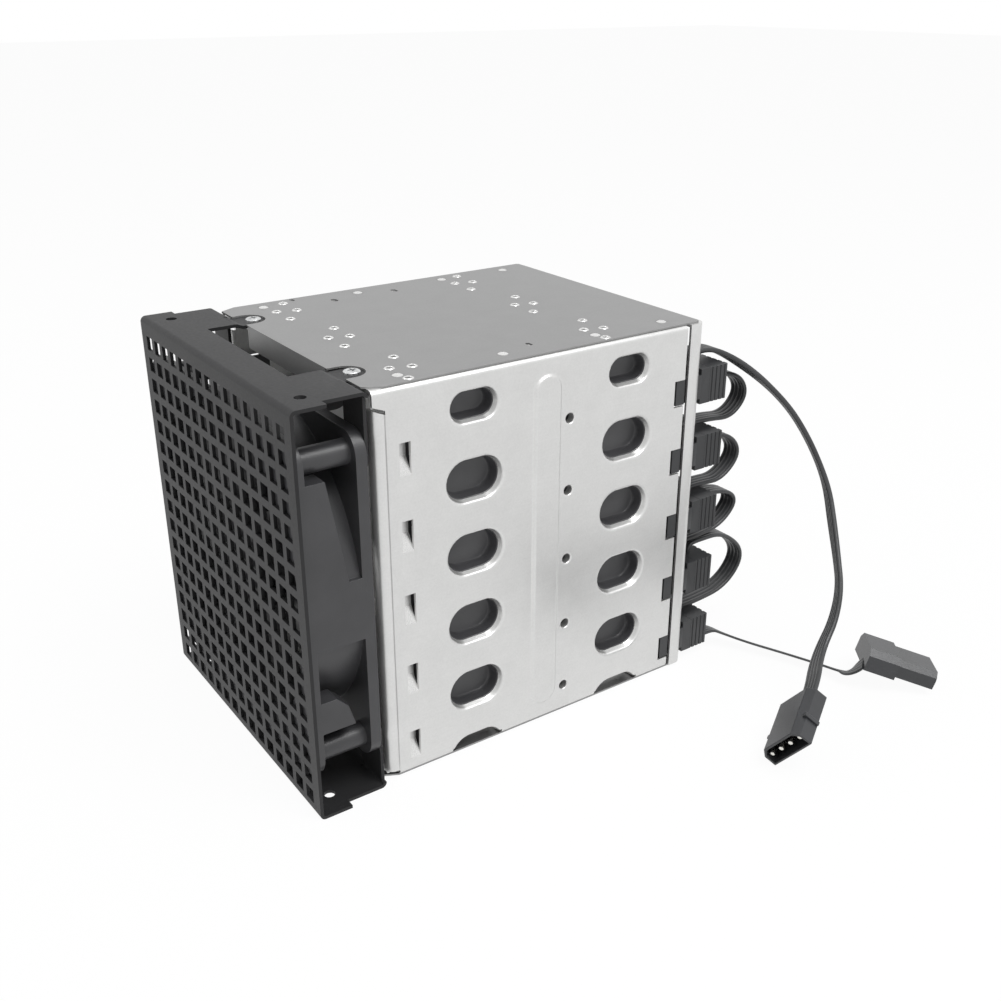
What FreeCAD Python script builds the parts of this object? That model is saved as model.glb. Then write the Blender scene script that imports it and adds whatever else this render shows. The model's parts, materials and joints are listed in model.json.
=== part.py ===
"""Drive cage for three stacked half-height bays: five drives, a front fan and a power harness.

The cage stands on one of its mounting plates: Z runs across the width of the host bay, X runs
up the stack of bays and Y runs from the fan to the connectors.
Units are millimetres.  The origin is the middle of the footprint, on the surface it stands on.
"""
import FreeCAD, Part
import math
import os

V = FreeCAD.Vector
X, Y, Z = V(1, 0, 0), V(0, 1, 0), V(0, 0, 1)

# ---- driving sizes ---------------------------------------------------------------------------
BAY_WIDTH = 146.0            # across the mounting plates, along Z
STACK_HEIGHT = 127.0         # three stacked bays, along X
OVERALL_DEPTH = 208.97       # fan grille to the outermost ribbon loop, along Y

SHEET = 1.0                  # zinc-plated sheet
BRACKET_SHEET = 1.2          # black bracket sheet
BODY_WIDTH = STACK_HEIGHT - 10.0               # over the two side panels, along X
BODY_START = 29.4            # grille face to the front of the side panels
BODY_LENGTH = 131.1          # side panels, along Y
FRAME_GAP = 0.8              # between the side panels and the rear frame
FRAME_LENGTH = 7.2           # rear frame, along Y
PLATE_START = 28.0           # grille face to the front edge of the mounting plates
PLATE_LENGTH = BODY_LENGTH + 7.4
PLATE_WIDTH = BODY_WIDTH - 0.6
PANEL_BEND = 2.0             # outer radius at the long edges of the side panels
LIP_BEND = 4.5               # outer radius at their front edge
PANEL_FLANGE = 12.0          # inward flange under each mounting plate
LIP_RELIEF, LIP_SLIT = 7.0, 2.2   # front lip stops this far from the mounting plates, below a slanting slit

MESH_COLUMNS, MESH_ROWS = 15, 17
MESH_PITCH_X = (STACK_HEIGHT - 7.0) / MESH_COLUMNS
MESH_PITCH_Z = (BAY_WIDTH - 7.45) / MESH_ROWS
MESH_HOLE_X, MESH_HOLE_Z = 5.4, 5.2
MESH_DROP = 1.0              # the grid sits this much below the middle
BRACKET_BEND = 2.0
BRACKET_WAIST = STACK_HEIGHT - 7.0             # width of the bracket flanges behind the step
STEP_DEPTH = 12.0            # grille face to the step
WINDOW_HALF_WIDTH, WINDOW_START = 33.0, 14.0
TAB_OUTER, TAB_LENGTH = 45.4, 13.0
JOGGLE_RUN, JOGGLE_CLEAR = 2.4, 0.6
FLANGE_HOLE_X, FLANGE_HOLE_Y, FLANGE_HOLE_R = STACK_HEIGHT / 2 - 10.0, 8.3, 2.0
EAR_INSET = 1.5
EAR_HEIGHT_TOP, EAR_HEIGHT_BOTTOM, EAR_CHAMFER = 25.0, 26.0, 12.0

BRACKET_SCREW_X, BRACKET_SCREW_Y = 38.2, 33.6
SCREW_R, SCREW_HOLE_R, SCREW_LENGTH = 1.45, 1.7, 5.0
SCREW_HEAD_R = 2.9
NOTCH_R, NOTCH_DEPTH = 6.5, 9.8
RAIL_LENGTH, RAIL_WIDTH = BODY_WIDTH - 4.6, 11.0
TUCK_HEIGHT, TUCK_HALF_WIDTH = 8.5, 30.5

FAN_SIZE, FAN_DEPTH = 120.0, 25.0
FAN_BORE_R, FAN_DUCT_R = 57.5, 59.4
FAN_FLANGE_FRONT, FAN_FLANGE_REAR, FAN_CORNER_R = 3.6, 4.0, 8.0
FAN_HOLE_PITCH, FAN_POST_R, FAN_HOLE_R = 105.0, 4.3, 2.15
FAN_BLOCK_HEIGHT = 22.5      # flush block at the middle of each side
FAN_BASE_R, FAN_STRUTS, FAN_STRUT_WIDTH = 21.0, 4, 4.5
FAN_TUBE_R, FAN_TUBE_BORE_R, FAN_TUBE_LENGTH = 5.2, 4.0, 13.2

ROTOR_START, ROTOR_LENGTH = 1.8, 17.5        # behind the fan's front face
HUB_R, HUB_WALL, HUB_CHAMFER, TIP_GAP = 21.0, 1.2, 1.2, 1.2
BLADES, BLADE_CHORDS, BLADE_SPANS = 7, 4, 3
BLADE_CAMBER, BLADE_THICKNESS = 2.6, 1.3
BLADE_ROOT_CHORD, BLADE_TIP_CHORD = 17.0, 27.0
BLADE_ROOT_ANGLE, BLADE_TIP_ANGLE, BLADE_SWEEP = 42.0, 60.0, 14.0
SHAFT_R, SHAFT_CLEARANCE = 1.55, 0.03
BEARING_LENGTH, BEARING_INSET = 12.0, 0.8
BOSS_R, BOSS_LENGTH = 3.0, 3.2
MAGNET_THICKNESS, MAGNET_LENGTH = 1.6, 11.0
STATOR_R, STATOR_LENGTH, STATOR_POLES, POLE_SHOE, POLE_WIDTH = 16.6, 6.0, 4, 1.6, 4.4
COIL_HEIGHT, COIL_CLEARANCE = 1.5, 0.8
BOARD_R, BOARD_THICKNESS = 17.5, 1.0

DRIVES, FIRST_DRIVE, LAST_SPARE = 5, 5.6, 4.65
DRIVE_PITCH = (BAY_WIDTH - FIRST_DRIVE - LAST_SPARE) / DRIVES
SLOT_ROWS_BELOW = 1.5        # the lowest, cut, row of slots is centred this far below z = 0
SLOT_LENGTH, SLOT_HEIGHT, SLOT_FACETS = 22.2, 15.2, 4
SLOT_FRONT, SLOT_REAR = 66.9, 132.8
TOP_SLOT_LENGTH, TOP_SLOT_HEIGHT, TOP_SLOT_DROP = 18.4, 10.8, 1.1
HALF_SLOT_FLOOR = 3.2
DISH_DEPTH, DISH_TAPER = 1.2, 0.8
PAD_DEPTH, PAD_FLOOR, PAD_RIM = 5.4, 0.9, 1.4    # moulded cup that closes each slot from inside
SIDE_HOLE_Y, SIDE_HOLE_R, SIDE_HOLE_RISE = 106.3, 1.8, 6.4
LANCE_Y, LANCE_WIDTH, LANCE_HEIGHT, LANCE_TAB, LANCE_REACH = 40.4, 4.2, 11.2, 5.6, 3.0
RIB_Y, RIB_WIDTH, RIB_HEIGHT, RIB_END = 96.5, 11.0, 0.8, 7.0
NOTCH_LENGTH, NOTCH_HEIGHT = 4.8, 10.2

MOUNT_HOLE_R, BAY_PITCH = 1.25, STACK_HEIGHT / 3
MOUNT_FRONT, MOUNT_ROW_STEP, MOUNT_SET_SPACING = 44.6, 7.3, 79.25
MOUNT_PAIR, MOUNT_OFFSET, MOUNT_SHIFT = 12.0, 0.5, 10.0

FRAME_BEND, FRAME_FLANGE = 3.6, 4.4

HOLDER_GAP = 1.0             # behind the rear frame
HOLDER_START = BODY_START + BODY_LENGTH + FRAME_GAP + FRAME_LENGTH + HOLDER_GAP
HOLDER_LENGTH, CAP_LENGTH = 4.5, 9.4
HOLDER_OUTER, HOLDER_WIDTH, HOLDER_HEIGHT = BODY_WIDTH / 2 - 1.5, 33.0, 13.8
HOLDER_RISE = 5.3            # middle of a connector above the bottom of its drive
CAP_CHAMFER = 0.9
TONGUE_WIDTH, TONGUE_HEIGHT, TONGUE_DEPTH, TONGUE_OFFSET = 21.0, 2.4, 3.8, 4.5
ARM_THICKNESS, ARM_HEIGHT, ARM_LENGTH, ARM_PLAY = 1.7, 9.4, 13.3, 0.3
CONTACTS, CONTACT_PITCH, CONTACT_WIDTH, CONTACT_THICKNESS = 4, 3.81, 3.3, 0.3

RIBBON_WIDTH, RIBBON_THICKNESS, RIBBON_OUTER = 8.0, 1.6, HOLDER_OUTER - 7.0
BEND_FACETS = 5              # flats along each bend of a ribbon loop
CORD_WIDTH, CORD_THICKNESS = 7.6, 2.0
PLUG_WIDTH, PLUG_THICKNESS, PLUG_LENGTH, PLUG_CHAMFER, PLUG_WALL = 20.0, 7.6, 24.0, 2.6, 1.1
PLUG_ENTRY, TAIL_ENTRY = 3.5, 4.0
PLUG_DEPTH, PIN_PITCH, PIN_R, PIN_LENGTH, PINS = 12.0, 5.08, 1.05, 9.0, 4
TAIL_WIDTH, TAIL_THICKNESS, TAIL_LENGTH, TAIL_STEP, TAIL_NOSE = 20.6, 9.0, 28.0, 1.0, 15.5
SOCKET_R, SOCKET_BARREL_R, SOCKET_DEPTH, SOCKET_RECESS = 1.2, 1.5, 11.0, 0.8

# ---- places worked out from the sizes --------------------------------------------------------
FRONT = -OVERALL_DEPTH / 2                       # y of the grille's face
MIDDLE = BAY_WIDTH / 2                           # z of the cage's middle
HALF_BODY = BODY_WIDTH / 2
FAN_FRONT = FRONT + BRACKET_SHEET
FAN_REAR = FAN_FRONT + FAN_DEPTH
FLANGE_END = FAN_REAR + BRACKET_SHEET            # rear of the bracket's flanges and ears
PANEL_FRONT = FRONT + BODY_START
PANEL_REAR = PANEL_FRONT + BODY_LENGTH
FRAME_FRONT = PANEL_REAR + FRAME_GAP
FRAME_REAR = FRAME_FRONT + FRAME_LENGTH
PLATE_FRONT = FRONT + PLATE_START
CAP_REAR = FRONT + HOLDER_START + HOLDER_LENGTH + CAP_LENGTH
HUB_FACE = FAN_FRONT + ROTOR_START
BASE_FACE = FAN_REAR - FAN_FLANGE_REAR           # front of the fan's motor base


def connector_height(number):
    """Height of the middle of connector `number`, counted from the top."""
    return FIRST_DRIVE + HOLDER_RISE + (DRIVES - number) * DRIVE_PITCH


# ---- helpers ---------------------------------------------------------------------------------
def box(x0, x1, y0, y1, z0, z1):
    return Part.makeBox(x1 - x0, y1 - y0, z1 - z0, V(x0, y0, z0))


def rod(radius, start, direction, length):
    return Part.makeCylinder(radius, length, start, direction)


def ring(outer, inner, start, direction, length):
    return rod(outer, start, direction, length).cut(rod(inner, start, direction, length))


def side_axis(direction):
    """Any unit vector square to the direction."""
    guide = Z if abs(direction.dot(Z)) < 0.9 else X
    return direction.cross(guide).normalize()


def bar(radius, start, direction, length, sides=8):
    """Prism with its corners on the circle: small repeated pins and holes stay light this way."""
    one = side_axis(direction)
    two = direction.cross(one).normalize()
    turns = [2 * math.pi * (number + 0.5) / sides for number in range(sides)]
    corners = [start + one * (radius * math.cos(t)) + two * (radius * math.sin(t)) for t in turns]
    return prism(corners, direction * (length / direction.Length))


def mirrored(shape, normal, height=0.0):
    return shape.mirror(V(0, 0, height), normal)


def both_sides(shape):
    return [shape, mirrored(shape, X)]


def prism(points, direction):
    return Part.Face(Part.makePolygon(points + points[:1])).extrude(direction)


def tangent_arc(before, corner, after, radius):
    """Start, middle and end of the arc that rounds a corner."""
    back, ahead = (before - corner).normalize(), (after - corner).normalize()
    half = back.getAngle(ahead) / 2
    centre = corner + (back + ahead).normalize() * (radius / math.sin(half))
    reach = radius / math.tan(half)
    return corner + back * reach, centre + (corner - centre).normalize() * radius, corner + ahead * reach


def rounded_edges(points, radii):
    """Straight runs from point to point, joined by tangent arcs."""
    edges, here = [], points[0]
    for before, corner, after, radius in zip(points, points[1:], points[2:], radii):
        if radius <= 0:
            edges.append(Part.LineSegment(here, corner).toShape())
            here = corner
            continue
        start, middle, end = tangent_arc(before, corner, after, radius)
        if (start - here).Length > 1e-6:
            edges.append(Part.LineSegment(here, start).toShape())
        edges.append(Part.Arc(start, middle, end).toShape())
        here = end
    if (points[-1] - here).Length > 1e-6:
        edges.append(Part.LineSegment(here, points[-1]).toShape())
    return edges


def offset_line(points, thickness, normal):
    """The polyline moved sideways by the sheet's thickness, seen along the normal."""
    sides = [normal.cross(b - a).normalize() * thickness for a, b in zip(points, points[1:])]
    moved = [points[0] + sides[0]]
    for corner, one, two in zip(points[1:], sides, sides[1:]):
        bisector = (one + two).normalize()
        moved.append(corner + bisector * (thickness * thickness / bisector.dot(one)))
    return moved + [points[-1] + sides[-1]]


def bent_sheet(points, thickness, bend, normal, length):
    """Sheet folded along a polyline; its other skin lies to the left of the path."""
    inner = offset_line(points, thickness, normal)
    turns = [normal.dot((b - a).cross(c - b)) for a, b, c in zip(points, points[1:], points[2:])]
    skin = rounded_edges(points, [bend if t > 0 else bend - thickness for t in turns])
    back = rounded_edges(inner, [bend - thickness if t > 0 else bend for t in turns])
    ends = [Part.LineSegment(points[0], inner[0]).toShape(), Part.LineSegment(points[-1], inner[-1]).toShape()]
    outline = Part.Wire(Part.__sortEdges__(skin + back + ends))
    return Part.Face(outline).extrude(normal * length)


def slot_outline(middle, length, height):
    """Corners of a round-ended slot in a plane of constant x, long along Y."""
    run, radius = (length - height) / 2, height / 2
    corners = []
    for end in (1, -1):
        for number in range(SLOT_FACETS + 1):
            turn = math.pi * (number / SLOT_FACETS - 0.5)
            along, up = end * (run + radius * math.cos(turn)), end * radius * math.sin(turn)
            corners.append(middle + Y * along + Z * up)
    return corners


def tapered(wide, narrow):
    """Solid between two outlines with as many corners each."""
    faces = [Part.Face(Part.makePolygon(line + line[:1])) for line in (wide, narrow)]
    for number in range(len(wide)):
        after = (number + 1) % len(wide)
        corners = [wide[number], wide[after], narrow[after], narrow[number], wide[number]]
        faces.append(Part.Face(Part.makePolygon(corners)))
    solid = Part.Solid(Part.Shell(faces))
    if solid.Volume < 0:
        solid.reverse()
    return solid


def swept(section, points, radii):
    """Closed section carried along straight runs and the tangent arcs between them."""
    wire = Part.makePolygon(section + section[:1])
    faces, here = [Part.Face(wire)], points[0]
    for before, corner, after, radius in zip(points, points[1:], points[2:], radii):
        start, middle, end = tangent_arc(before, corner, after, radius)
        faces += wire.extrude(start - here).Faces
        wire.translate(start - here)
        axis = (corner - before).cross(after - corner)
        turn = math.degrees((corner - before).getAngle(after - corner))
        centre = start + axis.cross(corner - before).normalize() * radius
        faces += wire.revolve(centre, axis, turn).Faces
        wire.rotate(centre, axis, turn)
        here = end
    faces += wire.extrude(points[-1] - here).Faces
    wire.translate(points[-1] - here)
    faces.append(Part.Face(wire))
    shell = Part.Shell(faces)
    shell.sewShape()
    solid = Part.Solid(shell)
    if solid.Volume < 0:
        solid.reverse()
    return solid


def rounded_square(size, radius, y, length):
    """Square block with rounded corners round the fan's axis."""
    half = size / 2
    block = box(-half, half, y, y + length, MIDDLE - half, MIDDLE + half)
    long_edges = [e for e in block.Edges if abs(e.tangentAt(e.FirstParameter).dot(Y)) > 0.99]
    return block.makeFillet(radius, long_edges)


def save(name, shape):
    shape.exportStep("parts/" + name + ".step")


def compound(solids):
    return Part.makeCompound(solids)


# ---- black front bracket ---------------------------------------------------------------------
def mesh_holes():
    """The grid of openings, as one cutting shape."""
    holes = []
    for column in range(MESH_COLUMNS):
        for row in range(MESH_ROWS):
            x = (column - (MESH_COLUMNS - 1) / 2) * MESH_PITCH_X
            z = MIDDLE - MESH_DROP + (row - (MESH_ROWS - 1) / 2) * MESH_PITCH_Z
            holes.append(box(x - MESH_HOLE_X / 2, x + MESH_HOLE_X / 2, FRONT, FRONT + BRACKET_SHEET,
                             z - MESH_HOLE_Z / 2, z + MESH_HOLE_Z / 2))
    return compound(holes)


def bracket_shell():
    """The U of grille and two flanges; each flange drops one sheet to tuck under its plate."""
    tuck_end = FLANGE_END + TAB_LENGTH
    low = PLATE_FRONT - JOGGLE_CLEAR
    top = [(tuck_end, BAY_WIDTH - SHEET), (low, BAY_WIDTH - SHEET),
           (low - JOGGLE_RUN, BAY_WIDTH), (FRONT, BAY_WIDTH)]
    outline = top + [(y, BAY_WIDTH - z) for y, z in reversed(top)]
    half = STACK_HEIGHT / 2
    points = [V(-half, y, z) for y, z in outline]
    return bent_sheet(points, BRACKET_SHEET, BRACKET_BEND, X, STACK_HEIGHT)


def bracket_trim():
    """What is cut out of the flanges: side steps, the window and the room beside the tabs."""
    half, waist = STACK_HEIGHT / 2, BRACKET_WAIST / 2
    deep = FLANGE_END + TAB_LENGTH + 1
    window = FRONT + WINDOW_START
    cuts = both_sides(box(waist, half + 1, FRONT + STEP_DEPTH, deep, -1, BAY_WIDTH + 1))
    cuts += both_sides(box(TAB_OUTER, waist, FLANGE_END - BRACKET_BEND - 1, deep, -1, BAY_WIDTH + 1))
    cuts.append(box(-WINDOW_HALF_WIDTH, WINDOW_HALF_WIDTH, window, deep, -1, BAY_WIDTH + 1))
    for x, y, radius in ((FLANGE_HOLE_X, FLANGE_HOLE_Y, FLANGE_HOLE_R),
                         (BRACKET_SCREW_X, BRACKET_SCREW_Y, SCREW_HOLE_R)):
        cuts += both_sides(bar(radius, V(x, FRONT + y, -1), Z, BAY_WIDTH + 2, 12))
    return cuts


def ear(height, chamfer):
    """Tab folded down behind the fan at the near top corner."""
    outer = BRACKET_WAIST / 2
    root = FLANGE_END - BRACKET_BEND - 1
    path = [V(TAB_OUTER, FLANGE_END, BAY_WIDTH - height), V(TAB_OUTER, FLANGE_END, BAY_WIDTH),
            V(TAB_OUTER, root, BAY_WIDTH)]
    sheet = bent_sheet(path, BRACKET_SHEET, BRACKET_BEND, X, outer - TAB_OUTER)
    edge, foot = outer - EAR_INSET, BAY_WIDTH - height
    spare = prism([V(edge, root, foot - 1), V(outer + 1, root, foot - 1),
                   V(outer + 1, root, BAY_WIDTH - BRACKET_BEND), V(edge, root, BAY_WIDTH - BRACKET_BEND)],
                  Y * (FLANGE_END - root + 1))
    corner = prism([V(edge + 1, root, foot - 1), V(edge + 1, root, foot + chamfer),
                    V(edge, root, foot + chamfer), V(edge - chamfer * 0.4, root, foot),
                    V(edge - chamfer * 0.4, root, foot - 1)], Y * (FLANGE_END - root + 1))
    inside = prism([V(TAB_OUTER, root, foot), V(TAB_OUTER + EAR_INSET, root, foot),
                    V(TAB_OUTER, root, foot + EAR_INSET)], Y * (FLANGE_END - root + 1))
    return sheet.cut([spare, corner, inside])


def front_bracket():
    upper = both_sides(ear(EAR_HEIGHT_TOP, EAR_INSET))
    lower = [mirrored(e, Z, MIDDLE) for e in both_sides(ear(EAR_HEIGHT_BOTTOM, EAR_CHAMFER))]
    body = bracket_shell().cut(bracket_trim()).fuse(upper + lower).removeSplitter()
    return body.cut(mesh_holes())


def bracket_screw():
    """Low pan-head screw through a tab into the strip below it."""
    seat = V(BRACKET_SCREW_X, FRONT + BRACKET_SCREW_Y, BAY_WIDTH - SHEET)
    head = bar(SCREW_HEAD_R, seat, Z, SHEET, 16)
    return head.fuse(bar(SCREW_R, seat - Z * SCREW_LENGTH, Z, SCREW_LENGTH))


def bracket_screws():
    upper = both_sides(bracket_screw())
    return compound(upper + [mirrored(s, Z, MIDDLE) for s in upper])


# ---- fan -------------------------------------------------------------------------------------
def corner_places():
    reach = FAN_HOLE_PITCH / 2
    return [(sx * reach, MIDDLE + sz * reach) for sx in (-1, 1) for sz in (-1, 1)]


def side_gussets():
    """Flush block and the two tapered webs between the flanges on the near side."""
    half = FAN_SIZE / 2
    start, end = FAN_FRONT + FAN_FLANGE_FRONT, FAN_REAR - FAN_FLANGE_REAR
    low, high = MIDDLE - FAN_BLOCK_HEIGHT / 2, MIDDLE + FAN_BLOCK_HEIGHT / 2
    depth = FAN_SIZE / 2 - FAN_BORE_R
    block = box(half - depth, half, start, end, low, high)
    upper = prism([V(half, start, high), V(half, start + 12.8, high), V(half, start + 6.6, high + 36),
                   V(half, start, high + 36)], X * -depth * 3)
    lower = prism([V(half, start, low - 19), V(half, start + 5.8, low - 19), V(half, start + 9.8, low - 23),
                   V(half, start + 12.2, low - 31), V(half, start, low - 31)], X * -depth * 3)
    return [block, upper, lower]


def fan_frame():
    half = FAN_SIZE / 2
    start, end = FAN_FRONT + FAN_FLANGE_FRONT, FAN_REAR - FAN_FLANGE_REAR
    axis = V(0, FAN_FRONT, MIDDLE)
    flanges = [rounded_square(FAN_SIZE, FAN_CORNER_R, FAN_FRONT, FAN_FLANGE_FRONT),
               rounded_square(FAN_SIZE, FAN_CORNER_R, end, FAN_FLANGE_REAR)]
    duct = rod(FAN_DUCT_R, axis, Y, FAN_DEPTH)
    posts = [bar(FAN_POST_R, V(x, start, z), Y, end - start, 16) for x, z in corner_places()]
    webs = [s for g in side_gussets() for s in (g, g.rotated(axis, Y, 180))]
    shell = flanges[0].fuse(flanges[1:] + [duct] + posts + webs)
    shell = shell.cut(rod(FAN_BORE_R, axis, Y, FAN_DEPTH))
    base = rod(FAN_BASE_R, V(0, end, MIDDLE), Y, FAN_FLANGE_REAR)
    struts = []
    for number in range(FAN_STRUTS):
        strut = box(FAN_TUBE_R, FAN_BORE_R + 1, end, FAN_REAR, MIDDLE + FAN_BASE_R - 2 * FAN_STRUT_WIDTH,
                    MIDDLE + FAN_BASE_R - FAN_STRUT_WIDTH)
        struts.append(strut.rotated(axis, Y, 45 + number * 360 / FAN_STRUTS))
    tube = rod(FAN_TUBE_R, V(0, end - FAN_TUBE_LENGTH, MIDDLE), Y, FAN_TUBE_LENGTH)
    shell = shell.fuse([base, tube] + struts)
    bores = [rod(FAN_TUBE_BORE_R, axis, Y, FAN_DEPTH)]
    bores += [bar(FAN_HOLE_R, V(x, FAN_FRONT, z), Y, FAN_DEPTH) for x, z in corner_places()]
    return shell.cut(bores).removeSplitter()


def blade_rows():
    """Front and rear skin of a blade as rows of points, each row on a cylinder round the shaft."""
    root, tip = HUB_R - HUB_WALL / 2, FAN_BORE_R - TIP_GAP
    front, rear = [], []
    for span in range(BLADE_SPANS + 1):
        share = span / BLADE_SPANS
        radius = root + (tip - root) * share
        chord = BLADE_ROOT_CHORD + (BLADE_TIP_CHORD - BLADE_ROOT_CHORD) * share
        lead = math.radians(BLADE_ROOT_ANGLE + (BLADE_TIP_ANGLE - BLADE_ROOT_ANGLE) * share)
        for skin, side in ((front, 0.5), (rear, -0.5)):
            row = []
            for number in range(BLADE_CHORDS + 1):
                place = number / BLADE_CHORDS - 0.5
                along = chord * place
                across = (BLADE_CAMBER + side * BLADE_THICKNESS) * (1 - 4 * place * place)
                turn = math.radians(BLADE_SWEEP * share)
                turn += (along * math.sin(lead) + across * math.cos(lead)) / radius
                depth = HUB_FACE + ROTOR_LENGTH / 2 + along * math.cos(lead) - across * math.sin(lead)
                row.append(V(radius * math.sin(turn), depth, MIDDLE + radius * math.cos(turn)))
            skin.append(row)
    return front, rear


def fan_blade():
    front, rear = blade_rows()
    cells = []
    for skin in (front, rear):
        cells += [(skin[m][n], skin[m][n + 1], skin[m + 1][n + 1], skin[m + 1][n])
                  for m in range(BLADE_SPANS) for n in range(BLADE_CHORDS)]
    for m in (0, BLADE_SPANS):
        cells += [(front[m][n], front[m][n + 1], rear[m][n + 1], rear[m][n]) for n in range(BLADE_CHORDS)]
    faces = []
    for a, b, c, d in cells:
        for corners in ((a, b, c), (a, c, d)):
            sides = [(corners[k] - corners[k - 1]).Length for k in range(3)]
            if min(sides) > 1e-6:
                faces.append(Part.Face(Part.makePolygon(corners + corners[:1])))
    shell = Part.Shell(faces)
    shell.sewShape()
    solid = Part.Solid(shell)
    if solid.Volume < 0:
        solid.reverse()
    return solid


def fan_rotor():
    axis = V(0, HUB_FACE, MIDDLE)
    cup = rod(HUB_R, axis, Y, ROTOR_LENGTH)
    rim = [e for e in cup.Edges if len(e.Vertexes) == 1 and abs(e.CenterOfMass.y - HUB_FACE) < 1e-6]
    cup = cup.makeChamfer(HUB_CHAMFER, rim)
    cup = cup.cut(rod(HUB_R - HUB_WALL, axis + Y * 1.8, Y, ROTOR_LENGTH))
    boss = rod(BOSS_R, axis + Y, Y, BOSS_LENGTH - 1)
    blade = fan_blade()
    blades = [blade.rotated(axis, Y, number * 360 / BLADES) for number in range(BLADES)]
    bore = rod(SHAFT_R, axis, Y, ROTOR_LENGTH)
    return cup.fuse([boss] + blades).removeSplitter().cut(bore.translated(Y * 1.0))


def shaft_end():
    return FAN_REAR - 1.2


def fan_shaft():
    start = HUB_FACE + 1.0
    return rod(SHAFT_R, V(0, start, MIDDLE), Y, shaft_end() - start)


def fan_bearing():
    """Sleeve bearing pressed into the motor's tube."""
    start = BASE_FACE - FAN_TUBE_LENGTH + BEARING_INSET
    return ring(FAN_TUBE_BORE_R, SHAFT_R + SHAFT_CLEARANCE, V(0, start, MIDDLE), Y, BEARING_LENGTH)


def stator_start():
    return BASE_FACE - FAN_TUBE_LENGTH + 2.4


def pole_arms(radius, width, start, length):
    arms = []
    for number in range(STATOR_POLES):
        arm = box(FAN_TUBE_R + 0.5, radius, start, start + length, MIDDLE - width / 2, MIDDLE + width / 2)
        arms.append(arm.rotated(V(0, 0, MIDDLE), Y, number * 360 / STATOR_POLES))
    return arms


def fan_stator():
    """Laminated core: a yoke pressed on the bearing tube, with T-shaped poles."""
    start = stator_start()
    axis = V(0, start, MIDDLE)
    yoke = bar(FAN_TUBE_R + 2.2, axis, Y, STATOR_LENGTH, 12)
    shoes = bar(STATOR_R, axis, Y, STATOR_LENGTH, 24).cut(bar(STATOR_R - POLE_SHOE, axis, Y, STATOR_LENGTH, 24))
    gaps = []
    for number in range(STATOR_POLES):
        gap = box(FAN_TUBE_R + 3, STATOR_R + 1, start, start + STATOR_LENGTH, MIDDLE - 1.4, MIDDLE + 1.4)
        gaps.append(gap.rotated(V(0, 0, MIDDLE), Y, (number + 0.5) * 360 / STATOR_POLES))
    core = yoke.fuse(pole_arms(STATOR_R - POLE_SHOE / 2, POLE_WIDTH, start, STATOR_LENGTH) + [shoes.cut(gaps)])
    return core.cut(rod(FAN_TUBE_R, axis, Y, STATOR_LENGTH)).removeSplitter()


def fan_windings():
    """One coil round each pole arm."""
    start = stator_start()
    inner, outer = FAN_TUBE_R + 2.7, STATOR_R - POLE_SHOE - COIL_CLEARANCE
    low, high = MIDDLE - POLE_WIDTH / 2, MIDDLE + POLE_WIDTH / 2
    coils = []
    for number in range(STATOR_POLES):
        coil = box(inner, outer, start - COIL_HEIGHT, start + STATOR_LENGTH + COIL_HEIGHT,
                   low - COIL_HEIGHT, high + COIL_HEIGHT)
        arm = box(inner, outer, start, start + STATOR_LENGTH, low, high)
        coils.append(coil.cut(arm).rotated(V(0, 0, MIDDLE), Y, number * 360 / STATOR_POLES))
    return compound(coils)


def fan_magnet_ring():
    outer, start = HUB_R - HUB_WALL, V(0, HUB_FACE + 3.0, MIDDLE)
    inner = bar(outer - MAGNET_THICKNESS, start, Y, MAGNET_LENGTH, 24)
    return bar(outer, start, Y, MAGNET_LENGTH, 24).cut(inner)


def fan_circuit_board():
    start = V(0, BASE_FACE - BOARD_THICKNESS, MIDDLE)
    return bar(BOARD_R, start, Y, BOARD_THICKNESS, 24).cut(rod(FAN_TUBE_R, start, Y, BOARD_THICKNESS))


# ---- zinc-plated cage ------------------------------------------------------------------------
def slot_rows():
    """Middle height, length and height of each full slot, from the bottom row up."""
    rows = [(number * DRIVE_PITCH - SLOT_ROWS_BELOW, SLOT_LENGTH, SLOT_HEIGHT) for number in range(1, DRIVES)]
    top = DRIVES * DRIVE_PITCH - SLOT_ROWS_BELOW - TOP_SLOT_DROP
    return rows + [(top, TOP_SLOT_LENGTH, TOP_SLOT_HEIGHT)]


def dish(y, z, length, height):
    """Formed edge of one slot, funnelling into the cage, and the hole that it leaves."""
    outer, inner = HALF_BODY, HALF_BODY - SHEET - DISH_DEPTH
    def funnel(spare):
        wide = slot_outline(V(outer, y, z), length - 2 * spare, height - 2 * spare)
        end = spare + DISH_TAPER
        return tapered(wide, slot_outline(V(inner, y, z), length - 2 * end, height - 2 * end))
    return funnel(-SHEET * 0.6), funnel(0)


def drive_pad(y, z, length, height):
    """Moulded cup on the inner end of one slot's funnel; its back guides the side of a drive."""
    mouth, back = HALF_BODY - SHEET - DISH_DEPTH, HALF_BODY - SHEET - DISH_DEPTH - PAD_DEPTH
    def outline(x, spare):
        return slot_outline(V(x, FRONT + y, z), length - 2 * spare, height - 2 * spare)
    outer = prism(outline(back, DISH_TAPER - PAD_RIM), X * PAD_DEPTH)
    return outer.cut(prism(outline(back + PAD_FLOOR, DISH_TAPER), X * (mouth - back)))


def drive_pads():
    """One cup for each slot of the near side panel; the two lowest are cut short with their slots."""
    above = box(0, HALF_BODY + 1, FRONT, PANEL_REAR, HALF_SLOT_FLOOR, BAY_WIDTH)
    pads = []
    for y in (SLOT_FRONT, SLOT_REAR):
        pads += [drive_pad(y, z, length, height) for z, length, height in slot_rows()]
        pads += drive_pad(y, -SLOT_ROWS_BELOW, SLOT_LENGTH, SLOT_HEIGHT).common(above).Solids
    return compound(pads)


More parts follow.
